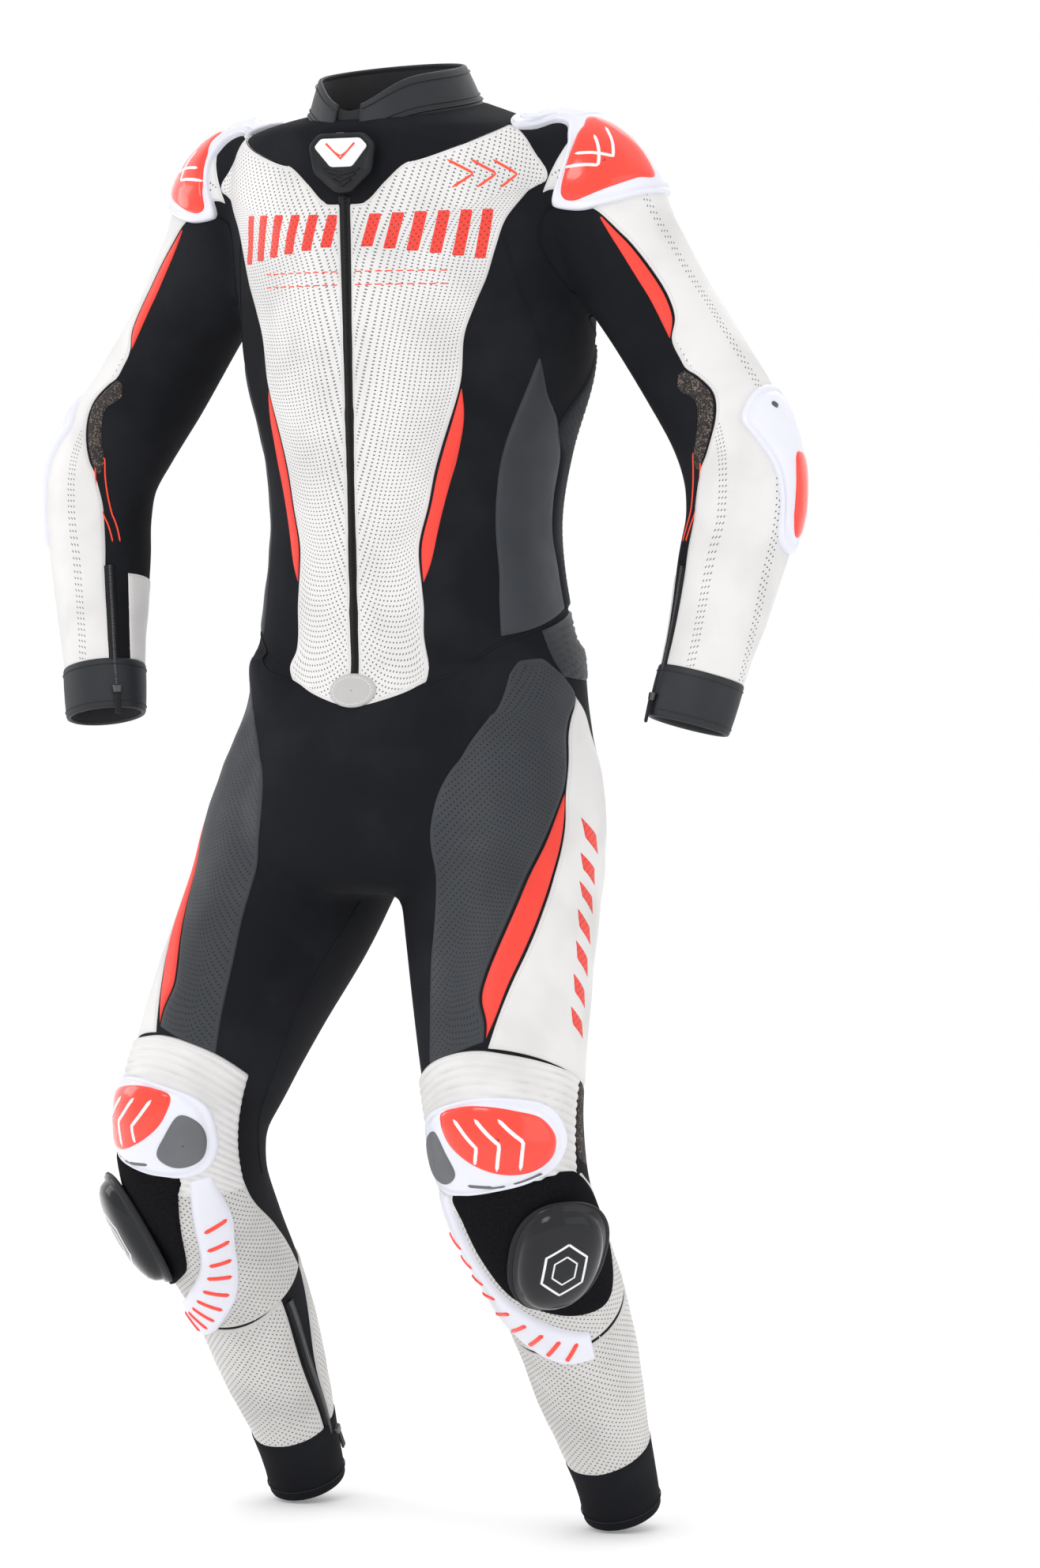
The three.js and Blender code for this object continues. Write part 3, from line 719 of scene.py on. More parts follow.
def knit(name):
    """Speckled aramid knit: small brown cells on a dark ground."""
    p = Paint(name, (0.07, 0.05, 0.042), 0.8)
    cells = p.node("TexVoronoi", {"Vector": p.place(), "Scale": 520.0}, feature="F1")
    tone = p.node("TexVoronoi", {"Vector": p.place(), "Scale": 260.0}, output=1, feature="F1")
    grey = p.node("RGBToBW", [tone])
    light = p.mix(p.ramp(grey, 0.3, 0.8), (0.05, 0.036, 0.03, 1), (0.2, 0.15, 0.12, 1))
    p.paint(p.mix(p.ramp(cells, 0.25, 0.6), light, (0.012, 0.01, 0.011, 1)))
    p.relief(cells, 0.0005, 0.6)
    return p.material


def hook_pile(name):
    """Fuzzy hook-and-loop face."""
    p = Paint(name, (0.012, 0.012, 0.014), 0.95, Specular_IOR_Level=0.05)
    pile = p.noise(1400.0, 4.0)
    p.paint(p.mix(p.ramp(pile, 0.4, 0.65), (0.004, 0.004, 0.005, 1), (0.014, 0.014, 0.016, 1)))
    p.relief(pile, 0.0008, 0.8)
    return p.material


WHITE, RED = (0.74, 0.73, 0.725), (0.93, 0.045, 0.025)
PERFORATED = leather("white_perforated", WHITE, holes=True)
SLEEVE_HIDE = leather("white_sleeve", WHITE, holes=True, rows=True)
SHIN_HIDE = leather("shin_perforated", (0.64, 0.625, 0.61), holes=True)
PLAIN_WHITE = leather("white_smooth", WHITE)
GREY_HIDE = leather("grey_perforated", (0.036, 0.04, 0.047), holes=True, hole_colour=(0.004, 0.004, 0.005),
                    roughness=0.5, Specular_IOR_Level=0.3)
BLACK_HIDE = leather("black_hide", (0.026, 0.029, 0.035), roughness=0.5, grain=0.6, Specular_IOR_Level=0.35)
RED_HIDE = leather("red_hide", RED, roughness=0.5)
STRETCH = fabric("black_stretch", (0.0085, 0.009, 0.0115), Specular_IOR_Level=0.12)
RIBBED = fabric("ribbed_stretch", (0.016, 0.017, 0.022), roughness=0.7, Specular_IOR_Level=0.25)
LINER = fabric("mesh_liner", (0.012, 0.012, 0.014), pitch=0.003)
CUP_WHITE = moulded("cup_white", (0.77, 0.78, 0.86), 0.34, speck=0.01, Coat_Weight=0.25, Coat_Roughness=0.2)
CUP_GREY = moulded("vent_grey", (0.13, 0.135, 0.145), 0.5)
RED_GLOSS = moulded("red_gloss_insert", (1.0, 0.03, 0.006), 0.18, speck=0.02, Coat_Weight=0.8,
                    Coat_Roughness=0.06)
INK = moulded("red_film", (1.0, 0.075, 0.03), 0.35, speck=0.02)
WHITE_FILM = moulded("white_film", (0.86, 0.86, 0.88), 0.35, speck=0.01)
KNIT = knit("aramid_knit")
PILE = hook_pile("hook_and_loop")
RUBBER = moulded("black_rubber", (0.012, 0.0125, 0.015), 0.5, Specular_IOR_Level=0.25)
PUCK_BLACK = moulded("slider_black", (0.006, 0.0065, 0.009), 0.12, Specular_IOR_Level=0.3, Coat_Weight=0.15,
                     Coat_Roughness=0.04)
ZIP_BLACK = moulded("zip_black", (0.009, 0.009, 0.01), 0.45, Specular_IOR_Level=0.2)
METAL = moulded("dark_metal", (0.12, 0.12, 0.13), 0.35, Metallic=0.9)
FOAM = moulded("armour_foam", (0.09, 0.1, 0.12), 0.9)

# ---- Riding on the bodies ----

ARM_BEND, LEG_BEND = (1130, 1060), (490, 400)  # heights spanning the elbow and knee bends, where soft() finds points on the limb's centre line
made_pieces = {}


def soft(piece, tube, side, replaces=()):
    """A soft piece: on the torso it rides with the torso body; on a limb its transform is only baked into its
    mesh.
    """
    if tube == "torso":
        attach(piece, "torso")
    else:
        heights = ARM_BEND if tube == "arm" else LEG_BEND
        start, end = (mirrored(TUBES[tube].centre(z), side) for z in heights)
        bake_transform(piece)
        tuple(start)
        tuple(end)
    return finished(piece, replaces)


def hard(piece, body, replaces=()):
    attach(piece, body)
    return finished(piece, replaces)


def finished(piece, replaces):
    if replaces:
        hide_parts(*replaces)
    made_pieces[piece.name] = piece
    return piece

# ---- The stretch skin, opened at neck, cuffs and ankles and cut where it bends ----

ARM_CUT, LEG_CUT = 1150, 540  # heights where the sleeve and leg skins start
WRIST_Z, SOLE_Z = 820, 14
NECK = TORSO[0]
NECK_CENTRE_Y = (NECK[2] + NECK[3]) / 2
NECK_HALF = ((NECK[1]) * MM, (NECK[3] - NECK[2]) / 2 * MM)
NECK_TILT = NECK[4]


def zone(p):
    """Which skin piece a point belongs to, or None where the suit is open."""
    z = p.z / MM + HANGER_Z
    side = "left" if p.x > 0 else "right"
    near = abs(p.x) / NECK_HALF[0], (p.y - NECK_CENTRE_Y * MM) / NECK_HALF[1]
    if z > 1385 and math.hypot(*near) < 0.9:
        return None
    if abs(p.x) > 0.235 and 700 < z < ARM_CUT:
        wrist = TUBES["arm"].centre(WRIST_Z)
        down = TUBES["arm"].centre(WRIST_Z + 30) - wrist
        return None if (np.array([abs(p.x), p.y, p.z]) - wrist) @ down < 0 else f"arm_{side}"
    if z < LEG_CUT:
        return None if z < SOLE_Z else f"leg_{side}"
    return "torso"


def cut_skin():
    mesh = skin.data
    groups = {}
    for polygon in mesh.polygons:
        groups.setdefault(zone(polygon.center), []).append(polygon.vertices[:])
    groups.pop(None)
    points = np.array([v.co[:] for v in mesh.vertices])
    for name, faces in groups.items():
        used = sorted({i for f in faces for i in f})
        index = {v: i for i, v in enumerate(used)}
        piece = new_mesh(f"stretch_{name}", points[used], [[index[i] for i in f] for f in faces])
        piece.data.materials.append(STRETCH)
        made_pieces[piece.name] = piece
    bpy.data.objects.remove(skin)


cut_skin()
soft(made_pieces["stretch_torso"], "torso", "left",
     ["yoke_left", "yoke_right", "back_yoke", "side_left", "side_right", "crotch_panel"])
for side in SIDES:
    soft(made_pieces[f"stretch_arm_{side}"], "arm", side, [f"elbow_stretch_{side}"])
    soft(made_pieces[f"stretch_leg_{side}"], "leg", side)


def band(name, ring, profile, material, opening=0, columns=120):
    """A cuff or collar: a closed profile of (along, out) points swept round ring(angle, along, out)."""
    turns = np.linspace(opening, 360 - opening, columns + 1 if opening else columns, endpoint=bool(opening))
    rows = np.array([[ring(a, along, out) for along, out in profile] for a in turns])
    count = len(profile)
    points = rows.reshape(-1, 3)
    faces = [list(f) for f in grid_faces(len(turns), count, closed=True)]
    if opening:
        last = (len(turns) - 1) * count
        faces += [list(range(count)), list(range(last, last + count))[::-1]]
    else:
        last = (len(turns) - 1) * count
        faces += [[last + i, i, (i + 1) % count, last + (i + 1) % count] for i in range(count)]
    made = new_mesh(name, points, faces)
    fix_normals(made)
    made.data.materials.append(material)
    return made


def thread_profile(along, out, half_width, half_height, sides=6):
    """Section of a round thread or cord, centred this far along and out, in millimetres."""
    turns = np.linspace(0, 2 * np.pi, sides + 1)[:-1]
    return [(along + half_width * math.sin(t), out + half_height * math.cos(t)) for t in turns]


def rounded_profile(low, high, inner, outer, steps=5):
    """Closed profile of a wall with round edges, from low to high and inner to outer."""
    radius, middle = (outer - inner) / 2, (outer + inner) / 2
    arc = np.linspace(0, np.pi, steps)
    top = [(high + radius * math.sin(a), middle + radius * math.cos(a)) for a in arc]
    foot = [(low - radius * math.sin(a), middle - radius * math.cos(a)) for a in arc]
    body = [(low + (high - low) * s, outer + math.sin(math.pi * s) * 0.6) for s in (0.12, 0.35, 0.65, 0.88)]
    return body + top + foot


# Collar: a leaning stand-up band, open at the front.
COLLAR_TALL, COLLAR_WALL, COLLAR_LEAN, COLLAR_OPEN = 38, 4.5, 0.36, 10
COLLAR_CURVE = 16  # how far the ends of the collar drop at the front


def collar_point(angle, along, out):
    a = math.radians(angle)
    front = max(0.0, math.cos(a)) ** 6
    along = along * (1 - 0.25 * front) - COLLAR_CURVE * front if along > 0 else along - COLLAR_CURVE * front
    grow = (out - COLLAR_LEAN * along) * MM
    x, y = (NECK_HALF[0] + grow) * math.sin(a), -(NECK_HALF[1] + grow) * math.cos(a)
    z = (NECK[0] - HANGER_Z) * MM + NECK_TILT * y + along * MM
    return x, NECK_CENTRE_Y * MM + y - NECK_TILT * along * MM, z


collar = band("collar_band", collar_point, rounded_profile(-12, COLLAR_TALL - 3, -COLLAR_WALL, 0),
              BLACK_HIDE, COLLAR_OPEN)
hard(collar, "torso", ["collar"])
trim = band("collar_piping", collar_point, thread_profile(3, 1.0, 1.2, 1.4, sides=8), BLACK_HIDE, COLLAR_OPEN)
hard(trim, "torso")
for k, along in enumerate((8, COLLAR_TALL - 7)):
    row = band(f"collar_stitch_{k}", collar_point, thread_profile(along, 1.2, 0.5, 0.6), BLACK_HIDE,
               COLLAR_OPEN + 1)
    hard(row, "torso")
lining = band("neck_lining", collar_point,
              [(-70, -34), (-70, -35), (-20, -9), (COLLAR_TALL - 6, -COLLAR_WALL - 0.6),
               (COLLAR_TALL - 6, -COLLAR_WALL), (-20, -8)], LINER)
hard(lining, "torso")


def disc(name, ring, along, out, material, columns=60):
    """Closes a lining so that no one sees through it."""
    turns = np.linspace(0, 360, columns, endpoint=False)
    rim = np.array([ring(a, along, out) for a in turns])
    points = np.vstack([rim, rim.mean(0)[None]])
    made = new_mesh(name, points, [[i, (i + 1) % columns, columns] for i in range(columns)])
    made.data.materials.append(material)
    return made


hard(disc("neck_floor", collar_point, -70, -34.5, LINER), "torso")


def limb_ring(tube, z_end, side):
    """Ring function of a limb: along is millimetres up from z_end, out is away from the surface."""
    def ring(angle, along, out):
        z = z_end + along
        low = max(z, TUBES[tube].z[-1])
        centre, rim = TUBES[tube].centre(low), TUBES[tube].at(low, np.array(float(angle)))
        away = (rim - centre) / np.linalg.norm(rim - centre)
        down = TUBES[tube].centre(low) - TUBES[tube].centre(low + 10)
        point = rim + away * out * MM + down * (low - z) / 10
        return mirrored(point, side)
    return ring


CUFF_TOP, ANKLE_TOP = 46, 66
for side in SIDES:
    ring = limb_ring("arm", 812, side)
    cuff = band(f"cuff_band_{side}", ring, rounded_profile(1, CUFF_TOP, -3.0, 2.2), BLACK_HIDE)
    hard(cuff, f"forearm_{side}", [f"cuff_{side}"])
    for k, along in enumerate((5, CUFF_TOP - 4)):
        row = band(f"cuff_stitch_{side}_{k}", ring, thread_profile(along, 2.6, 0.45, 0.6), BLACK_HIDE)
        hard(row, f"forearm_{side}")
    inside = band(f"cuff_lining_{side}", ring,
                  [(2, -3.4), (30, -4), (60, -8), (60, -9), (30, -5), (2, -4.4)], LINER)
    hard(inside, f"forearm_{side}")
    hard(disc(f"cuff_floor_{side}", ring, 58, -6, LINER), f"forearm_{side}")

    ring = limb_ring("leg", 8, side)
    ankle = band(f"ankle_band_{side}", ring, rounded_profile(1, ANKLE_TOP, -3.0, 2.0), STRETCH)
    hard(ankle, f"shin_{side}", [f"ankle_cuff_{side}"])
    row = band(f"ankle_stitch_{side}", ring, thread_profile(8, 2.9, 0.5, 0.6), RIBBED)
    hard(row, f"shin_{side}")
    inside = band(f"ankle_lining_{side}", ring,
                  [(2, -3.4), (40, -4), (80, -8), (80, -9), (40, -5), (2, -4.4)], LINER)
    hard(inside, f"shin_{side}")
    hard(disc(f"ankle_floor_{side}", ring, 78, -6, LINER), f"shin_{side}")

# ---- Outlines, as (z, angle) on the wearer's left ----

ZIP_EDGE = 0.75
YOKE_EDGE = [(1324, ZIP_EDGE), (1326, 7), (1344, 13), (1362, 20), (1369, 28), (1382, 42), (1394, 56),
             (1404, 72)]
CHEST_EDGE = [(1404, 72), (1348, 68), (1333, 61), (1308, 52), (1280, 48), (1250, 45), (1220, 41),
              (1190, 38), (1146, 38), (1104, 36), (1060, 33), (1025, 31), (985, 27), (946, 27), (925, 27),
              (900, 26), (870, 26), (851, 25)]
STRIPE_IN = [(1146, 38), (1104, 36), (1060, 33), (1025, 31), (985, 27), (946, 27)]
STRIPE_OUT = [(1146, 38), (1110, 41.5), (1075, 41.5), (1048, 39.5), (1000, 35), (970, 31.5), (946, 27)]
CHEST_FOOT = [(826, ZIP_EDGE), (829, 7), (839, 17), (851, 25)]
FLANK_FRONT = [(1177, 66), (1150, 63), (1108, 60), (1069, 58), (1033, 58), (964, 58), (930, 56), (895, 54)]
FLANK_BACK = [(1177, 66), (1138, 73), (1111, 84), (1075, 95), (1033, 96), (997, 97), (964, 100), (922, 100)]
WAIST = [(851, 25), (860, 33), (874, 42), (890, 55), (904, 74), (922, 100), (930, 140), (932, 180)]
GREY_TOP = [(870, 48), (884, 56), (884, 70), (864, 82)]
GREY_INNER = [(870, 48), (830, 38), (793, 29), (757, 14), (727, 3), (700, -5), (673, -10), (640, -13),
              (586, -18), (547, -24), (500, -30), (466, -36)]
GREY_OUTER = [(864, 82), (838, 90), (811, 84), (760, 74), (709, 66), (660, 53), (628, 45), (590, 36),
              (565, 29), (530, 18), (510, 14), (490, 17), (473, 16)]
THIGH_RED_IN = [(709, 66), (660, 53), (628, 45), (590, 36), (565, 29), (530, 18), (510, 14), (490, 17),
                (473, 16)]
THIGH_RED_OUT = [(709, 66), (676, 65), (640, 61), (600, 55), (560, 46), (520, 33), (495, 25), (473, 16)]
THIGH_WHITE_IN = [(838, 90), (811, 84.5), (760, 74.5), (709, 66), (676, 65), (640, 61), (600, 55),
                  (560, 46), (520, 33), (495, 25), (466, 16)]
THIGH_WHITE_OUT = [(838, 90), (800, 103), (740, 116), (680, 124), (600, 132), (520, 137), (455, 140)]
SLEEVE_FRONT = [(1345, 0), (1318, 14), (1300, 24), (1262, 36), (1223, 39), (1195, 33), (1178, 17),
                (1160, 13), (1148, 12), (1136, 17), (1115, 20), (1092, 8), (1068, -12), (1055, -24),
                (1022, -34), (977, -34), (938, -34), (890, -40), (856, -42)]
SLEEVE_BACK = [(1345, 178), (1300, 168), (1223, 160), (1148, 156), (1068, 158), (977, 165), (890, 175),
               (856, 178)]
ARM_RED_IN = [(1302, 21), (1266, 22), (1235, 21), (1214, 20), (1178, 16)]
ARM_RED_OUT = [(1302, 24), (1262, 36), (1223, 39), (1195, 33), (1178, 17)]
KNIT_IN = [(1149, 3), (1137, -7), (1118, 0), (1094, -13), (1072, -29), (1057, -27)]
KNIT_OUT = [(1149, 11), (1136, 17), (1115, 20), (1092, 8), (1068, -12), (1057, -24)]
ACCORDION_TOP = [(463, -64), (468, -36), (469, -12), (467, 10), (461, 32), (456, 62), (453, 98)]
ACCORDION_IN = [(460, -64), (430, -68), (396, -70), (356, -74)]
ACCORDION_OUT = [(450, 98), (420, 94), (392, 90), (372, 88)]
SHIN_IN = [(372, -72), (334, -82), (295, -98), (262, -108), (235, -112)]
SHIN_OUT = [(372, 96), (330, 124), (280, 140), (235, 146)]

# ---- Leather panels ----

for side in SIDES:
    chest = panel(f"chest_leather_{side}", "torso", [(1324, ZIP_EDGE), (1080, ZIP_EDGE), (826, ZIP_EDGE)],
                  CHEST_EDGE, PERFORATED,
                  top=YOKE_EDGE, bottom=CHEST_FOOT, side=side)
    soft(chest, "torso", side, [f"chest_{side}"])
    stripe = panel(f"chest_stripe_{side}", "torso", STRIPE_IN, STRIPE_OUT, RED_HIDE, side=side,
                   lift=1.9 * MM, crease=0)
    soft(stripe, "torso", side)
    flank = panel(f"flank_{side}", "torso", FLANK_FRONT, FLANK_BACK, GREY_HIDE, side=side,
                  bottom=[(895, 54), (904, 74), (922, 100)])
    soft(flank, "torso", side)
    ribs = panel(f"back_ribs_{side}", "torso",
                 [(1190, 116), (1111, 86), (1075, 97), (1033, 98), (997, 99), (964, 102), (924, 102)],
                 [(1190, 132), (1080, 140), (1000, 150), (926, 150)], RIBBED, side=side, ribs=(7, 2.2),
                 crease=0)
    soft(ribs, "torso", side)
    hips = panel(f"hip_ribs_{side}", "torso", [(903, 75), (874, 77), (856, 82)],
                 [(926, 132), (890, 130), (850, 126)], BLACK_HIDE,
                 side=side, top=[(903, 75), (918, 104), (926, 132)],
                 bottom=[(856, 82), (852, 100), (850, 126)], ribs=(7.5, 2.6), crease=0, lift=0.4 * MM)
    soft(hips, "torso", side, [f"hip_accordion_{side}"])
    thigh = panel(f"thigh_grey_{side}", "leg", GREY_INNER, GREY_OUTER, GREY_HIDE, side=side, top=GREY_TOP,
                  bottom=[(466, -36), (466, -10), (473, 16)])
    soft(thigh, "leg", side, [f"thigh_{side}"])
    stripe = panel(f"thigh_stripe_{side}", "leg", THIGH_RED_IN, THIGH_RED_OUT, RED_HIDE, side=side,
                   lift=1.9 * MM, crease=0)
    soft(stripe, "leg", side)
    outer = panel(f"thigh_white_{side}", "leg", THIGH_WHITE_IN, THIGH_WHITE_OUT, PLAIN_WHITE, side=side,
                  bottom=[(466, 16), (460, 42), (454, 72), (451, 98), (455, 140)])
    soft(outer, "leg", side)
    accordion = panel(f"knee_accordion_{side}", "leg", ACCORDION_IN, ACCORDION_OUT, PLAIN_WHITE, side=side,
                      top=ACCORDION_TOP,
                      bottom=[(356, -74), (362, -30), (366, 0), (370, 40), (372, 88)], ribs=(8.6, 3.0),
                      crease=0, step=1.6)
    soft(accordion, "leg", side, [f"knee_stretch_{side}"])
    shin = panel(f"shin_{side}_leather", "leg", SHIN_IN, SHIN_OUT, SHIN_HIDE, side=side,
                 bottom=[(235, -112), (226, -20), (226, 60), (235, 146)])
    soft(shin, "leg", side, [f"shin_{side}"])
    calf = panel(f"calf_{side}_leather", "leg", [(235, -70), (142, -72), (66, -84)],
                 [(235, 146), (150, 150), (66, 150)], SHIN_HIDE, side=side,
                 top=[(235, -70), (226, -20), (226, 60), (235, 146)])
    soft(calf, "leg", side)
    back_calf = panel(f"calf_back_{side}_leather", "leg", [(235, -205), (150, -206), (66, -206)],
                      [(236, -112), (142, -88), (66, -96)], SHIN_HIDE, side=side)
    soft(back_calf, "leg", side)
    sleeve = panel(f"sleeve_{side}_leather", "arm", SLEEVE_FRONT, SLEEVE_BACK, SLEEVE_HIDE, side=side)
    soft(sleeve, "arm", side, [f"sleeve_{side}", f"forearm_{side}"])
    stripe = panel(f"sleeve_stripe_{side}", "arm", ARM_RED_IN, ARM_RED_OUT, RED_HIDE, side=side,
                   lift=1.9 * MM, crease=0)
    soft(stripe, "arm", side)
    patch = panel(f"elbow_knit_{side}", "arm", KNIT_IN, KNIT_OUT, KNIT, side=side, lift=2.0 * MM, crease=0)
    soft(patch, "arm", side)
    wrist = panel(f"wrist_white_{side}", "arm", [(950, -128), (900, -132), (856, -134)],
                  [(950, -58), (900, -62), (856, -66)], PLAIN_WHITE, side=side)
    soft(wrist, "arm", side)
    strip = panel(f"knee_knit_{side}", "leg", [(452, 98), (420, 94), (385, 92)],
                  [(452, 116), (420, 114), (368, 112)], KNIT, side=side, lift=2.0 * MM, crease=0)
    soft(strip, "leg", side)

back = panel("back_white", "torso", [(1345, 120), (1250, 126), (1085, 142)],
             [(1345, 240), (1250, 234), (1085, 218)], PERFORATED,
             bottom=[(1085, 142), (1070, 180), (1085, 218)])
soft(back, "torso", "left", ["back_panel"])
lumbar = panel("lumbar_ribs", "torso", [(1066, 143), (1000, 152), (932, 152)],
               [(1066, 217), (1000, 208), (932, 208)], RIBBED,
               top=[(1066, 143), (1052, 180), (1066, 217)], ribs=(9, 3.0), crease=0)
soft(lumbar, "torso", "left", ["lumbar_stretch"])
seat = panel("seat", "torso", [(915, 128), (820, 122), (735, 128)], [(915, 232), (820, 238), (735, 232)],
             BLACK_HIDE,
             bottom=[(735, 128), (690, 180), (735, 232)])
soft(seat, "torso", "left", ["seat_panel"])

# ---- Seams ----

for side in SIDES:
    for name, tube, path, width in [
        ("waist_seam", "torso", WAIST, 4.0),
        ("armhole_seam", "torso", [(1346, 72), (1303, 64), (1279, 64), (1246, 74), (1219, 88), (1195, 112)],
         3.0),
        ("side_seam", "torso", [(1290, 50), (1240, 56), (1192, 64), (1165, 67), (1129, 74), (1114, 85)], 2.5),
        ("yoke_seam", "torso", [(1322, 0), (1324, 8), (1342, 14), (1360, 21), (1367, 29), (1380, 43),
                                (1392, 57), (1402, 73)], 2.5),
        ("inner_leg_seam", "leg", [(640, -80), (547, -78), (475, -84), (415, -92), (352, -100)], 2.5),
    ]:
        seam = ribbon(f"{name}_{side}", tube, path, width, 0.9, STRETCH, side=side)
        soft(seam, tube, side)

# ---- Moulded cups ----

SHOULDER = [(1350, 132), (1351, 112), (1348, 84), (1345, 56), (1342, 30), (1337, 2), (1328, -6), (1313, 10),
            (1306, 36), (1303, 62), (1301, 84), (1301, 110), (1304, 138), (1318, 166), (1336, 178),
            (1344, 160), (1348, 148)]
SHOULDER_RED = [(1343, 88), (1343.5, 66), (1342.5, 46), (1339, 22), (1331, 6), (1321, 12), (1316, 40),
                (1314, 66), (1314, 88)]
SHOULDER_TOP = [(1350.5, 126), (1349.5, 104), (1346.5, 84), (1344.5, 92), (1344.5, 116), (1347.5, 132)]
ELBOW = [(1112, 92), (1108, 62), (1096, 42), (1082, 32), (1067, 42), (1050, 58), (1028, 64), (1002, 68),
         (992, 84), (992, 106), (1002, 122), (1028, 128), (1050, 132), (1067, 146), (1082, 156),
         (1096, 146), (1108, 124)]
ELBOW_RED = [(1060, 84), (1040, 80), (1016, 80), (1004, 88), (1004, 102), (1016, 110), (1040, 110),
             (1060, 106)]
KNEE = [(433, -14), (432, -40), (424, -54), (402, -60), (384, -52), (378, -34), (378, -14), (380, 14),
        (382, 44), (388, 66), (403, 78), (418, 73), (427, 58), (431, 32), (433, 8)]
KNEE_RED = [(428, -22), (430, -6), (428, 14), (424, 36), (419, 55), (408, 65), (395, 61), (389, 44),
            (391, 22), (400, 0), (413, -16)]
KNEE_GREY = [(420, -29), (418, -44), (408, -50), (394, -48), (387, -38), (386, -24), (393, -13), (406, -19)]
RIM = [(0.0, -1.5), (0.01, 4.0), (0.03, 6.2), (0.07, 6.6), (0.10, 5.4), (0.13, 5.4), (0.16, 7.2),
       (0.22, 7.6), (0.4, 8.2)]
INSERT = [(0.0, -1.0), (0.015, 0.6), (0.05, 1.3), (0.12, 1.9), (0.3, 2.4), (0.6, 2.8)]
KNEE_TURN = {"left": 0, "right": 8}
MARK_WIDTH = 4.0


def cup(name, tube, outline, body, side, replaces, turn=0):
    made = plate(name, tube, outline, RIM, CUP_WHITE, side=side, turn=turn, rings=12, step=2.0)
    hard(made, body, replaces)
    return tree_of_left(made, side)


def tree_of_left(made, side):
    """Ray-casting tree of a piece, mirrored to the left where outlines are cast."""
    points = [mirrored(np.array(v.co[:]), side) for v in made.data.vertices]
    return BVHTree.FromPolygons(points, [p.vertices[:] for p in made.data.polygons])


for side in SIDES:
    on_cup = cup(f"shoulder_cup_{side}_shell", "arm", SHOULDER, "torso", side, [f"shoulder_cup_{side}"])
    red = plate(f"shoulder_insert_{side}", "arm", SHOULDER_RED, INSERT, RED_GLOSS, side=side, tree=on_cup,
                step=1.5)
    hard(red, "torso")
    top = plate(f"shoulder_vent_{side}", "arm", SHOULDER_TOP, INSERT, CUP_WHITE, side=side, tree=on_cup,
                step=1.5)
    hard(top, "torso")
    on_red = tree_of_left(red, side)
    for k, shift in enumerate((0, 14)):
        mark = ribbon(f"shoulder_mark_{side}_{k}", "arm",
                      [(1340, 24 + shift), (1330, 42 + shift), (1340, 60 + shift)], 3.5, 0.8, WHITE_FILM,
                      side=side, tree=on_red, smooth=False)
        hard(mark, "torso")

    on_cup = cup(f"elbow_cup_{side}_shell", "arm", ELBOW, f"forearm_{side}", side, [f"elbow_cup_{side}"])
    red = plate(f"elbow_insert_{side}", "arm", ELBOW_RED, INSERT, RED_GLOSS, side=side, tree=on_cup, step=1.5)
    hard(red, f"forearm_{side}")
    screw = plate(f"elbow_screw_{side}", "arm", [(1094, 70), (1091, 66), (1088, 70), (1091, 74)],
                  [(0, 0), (0.2, 1.2), (0.5, 1.4)], METAL,
                  side=side, tree=on_cup, step=0.8, rings=4)
    hard(screw, f"forearm_{side}")

    turn = KNEE_TURN[side]
    body = f"shin_{side}"
    on_cup = cup(f"knee_cup_{side}_shell", "leg", KNEE, body, side, [f"knee_cup_{side}"], turn)
    red = plate(f"knee_insert_{side}", "leg", KNEE_RED, INSERT, RED_GLOSS, side=side, turn=turn,
                tree=on_cup, step=1.5)
    hard(red, body)
    grey = plate(f"knee_vent_{side}", "leg", KNEE_GREY, INSERT, CUP_GREY, side=side, turn=turn, tree=on_cup,
                 step=1.5)
    hard(grey, body)
    on_red = tree_of_left(red, side)
    for k, shift in enumerate((0, 16, 32)):
        mark = ribbon(f"knee_mark_{side}_{k}", "leg",
                      [(424 - 0.1 * shift, -8 + shift), (408, 8 + shift), (395 - 0.1 * shift, 4 + shift)],
                      MARK_WIDTH, 0.9,
                      WHITE_FILM, side=side, turn=turn, tree=on_red, smooth=False)
        hard(mark, body)
    for k, (low, high) in enumerate([((386, -4), (383, 24)), ((384, 30), (386, 52))]):
        vent = ribbon(f"knee_slot_{side}_{k}", "leg", [low, high], 3.4, 0.7, CUP_GREY, side=side, turn=turn,
                      tree=on_cup)
        hard(vent, body)

# ---- Knee slider, its pad, and the shin guard ----

PAD = [(379, -24), (381, 10), (383, 50), (380, 80), (356, 98), (325, 106), (292, 104), (266, 92), (254, 74),
       (262, 48), (280, 20), (300, -2), (336, -14), (362, -20)]
PAD_LAYERS = [(0.0, -1.0), (0.01, 4.0), (0.03, 6.6), (0.08, 7.4)]
GUARD_OUT = [(379, -50), (343, -60), (315, -54), (285, -47), (262, -35), (241, -16), (222, 2), (210, 20),
             (206, 48)]
GUARD_IN = [(376, -30), (345, -26), (315, -20), (292, -8), (276, 8), (262, 22), (250, 36), (240, 50)]
PUCK_HALF = (47, 60)
PUCK_UP = 22 * MM  # the slider sits high on its pad
PUCK_DOME = [(1.03, 0), (1.06, 2.5), (1.03, 5), (0.97, 6), (0.955, 9), (0.92, 13.5), (0.83, 18),
             (0.68, 21.5), (0.5, 23.8), (0.3, 25), (0.12, 25.5)]
PUCK_SWEEP = 0.86  # the slider narrows to this share at its lower end


def oval(half_width, half_height, count=72, power=2.4, sweep=1.0):
    """Superellipse outline, narrowing downwards by sweep."""
    out = []
    for t in np.linspace(0, 2 * np.pi, count, endpoint=False):
        x, y = (np.sign(f(t)) * abs(f(t)) ** (2 / power) for f in (np.cos, np.sin))
        out.append((x * half_width * (1 + (y - 1) * (1 - sweep) / 2), y * half_height))
    return out


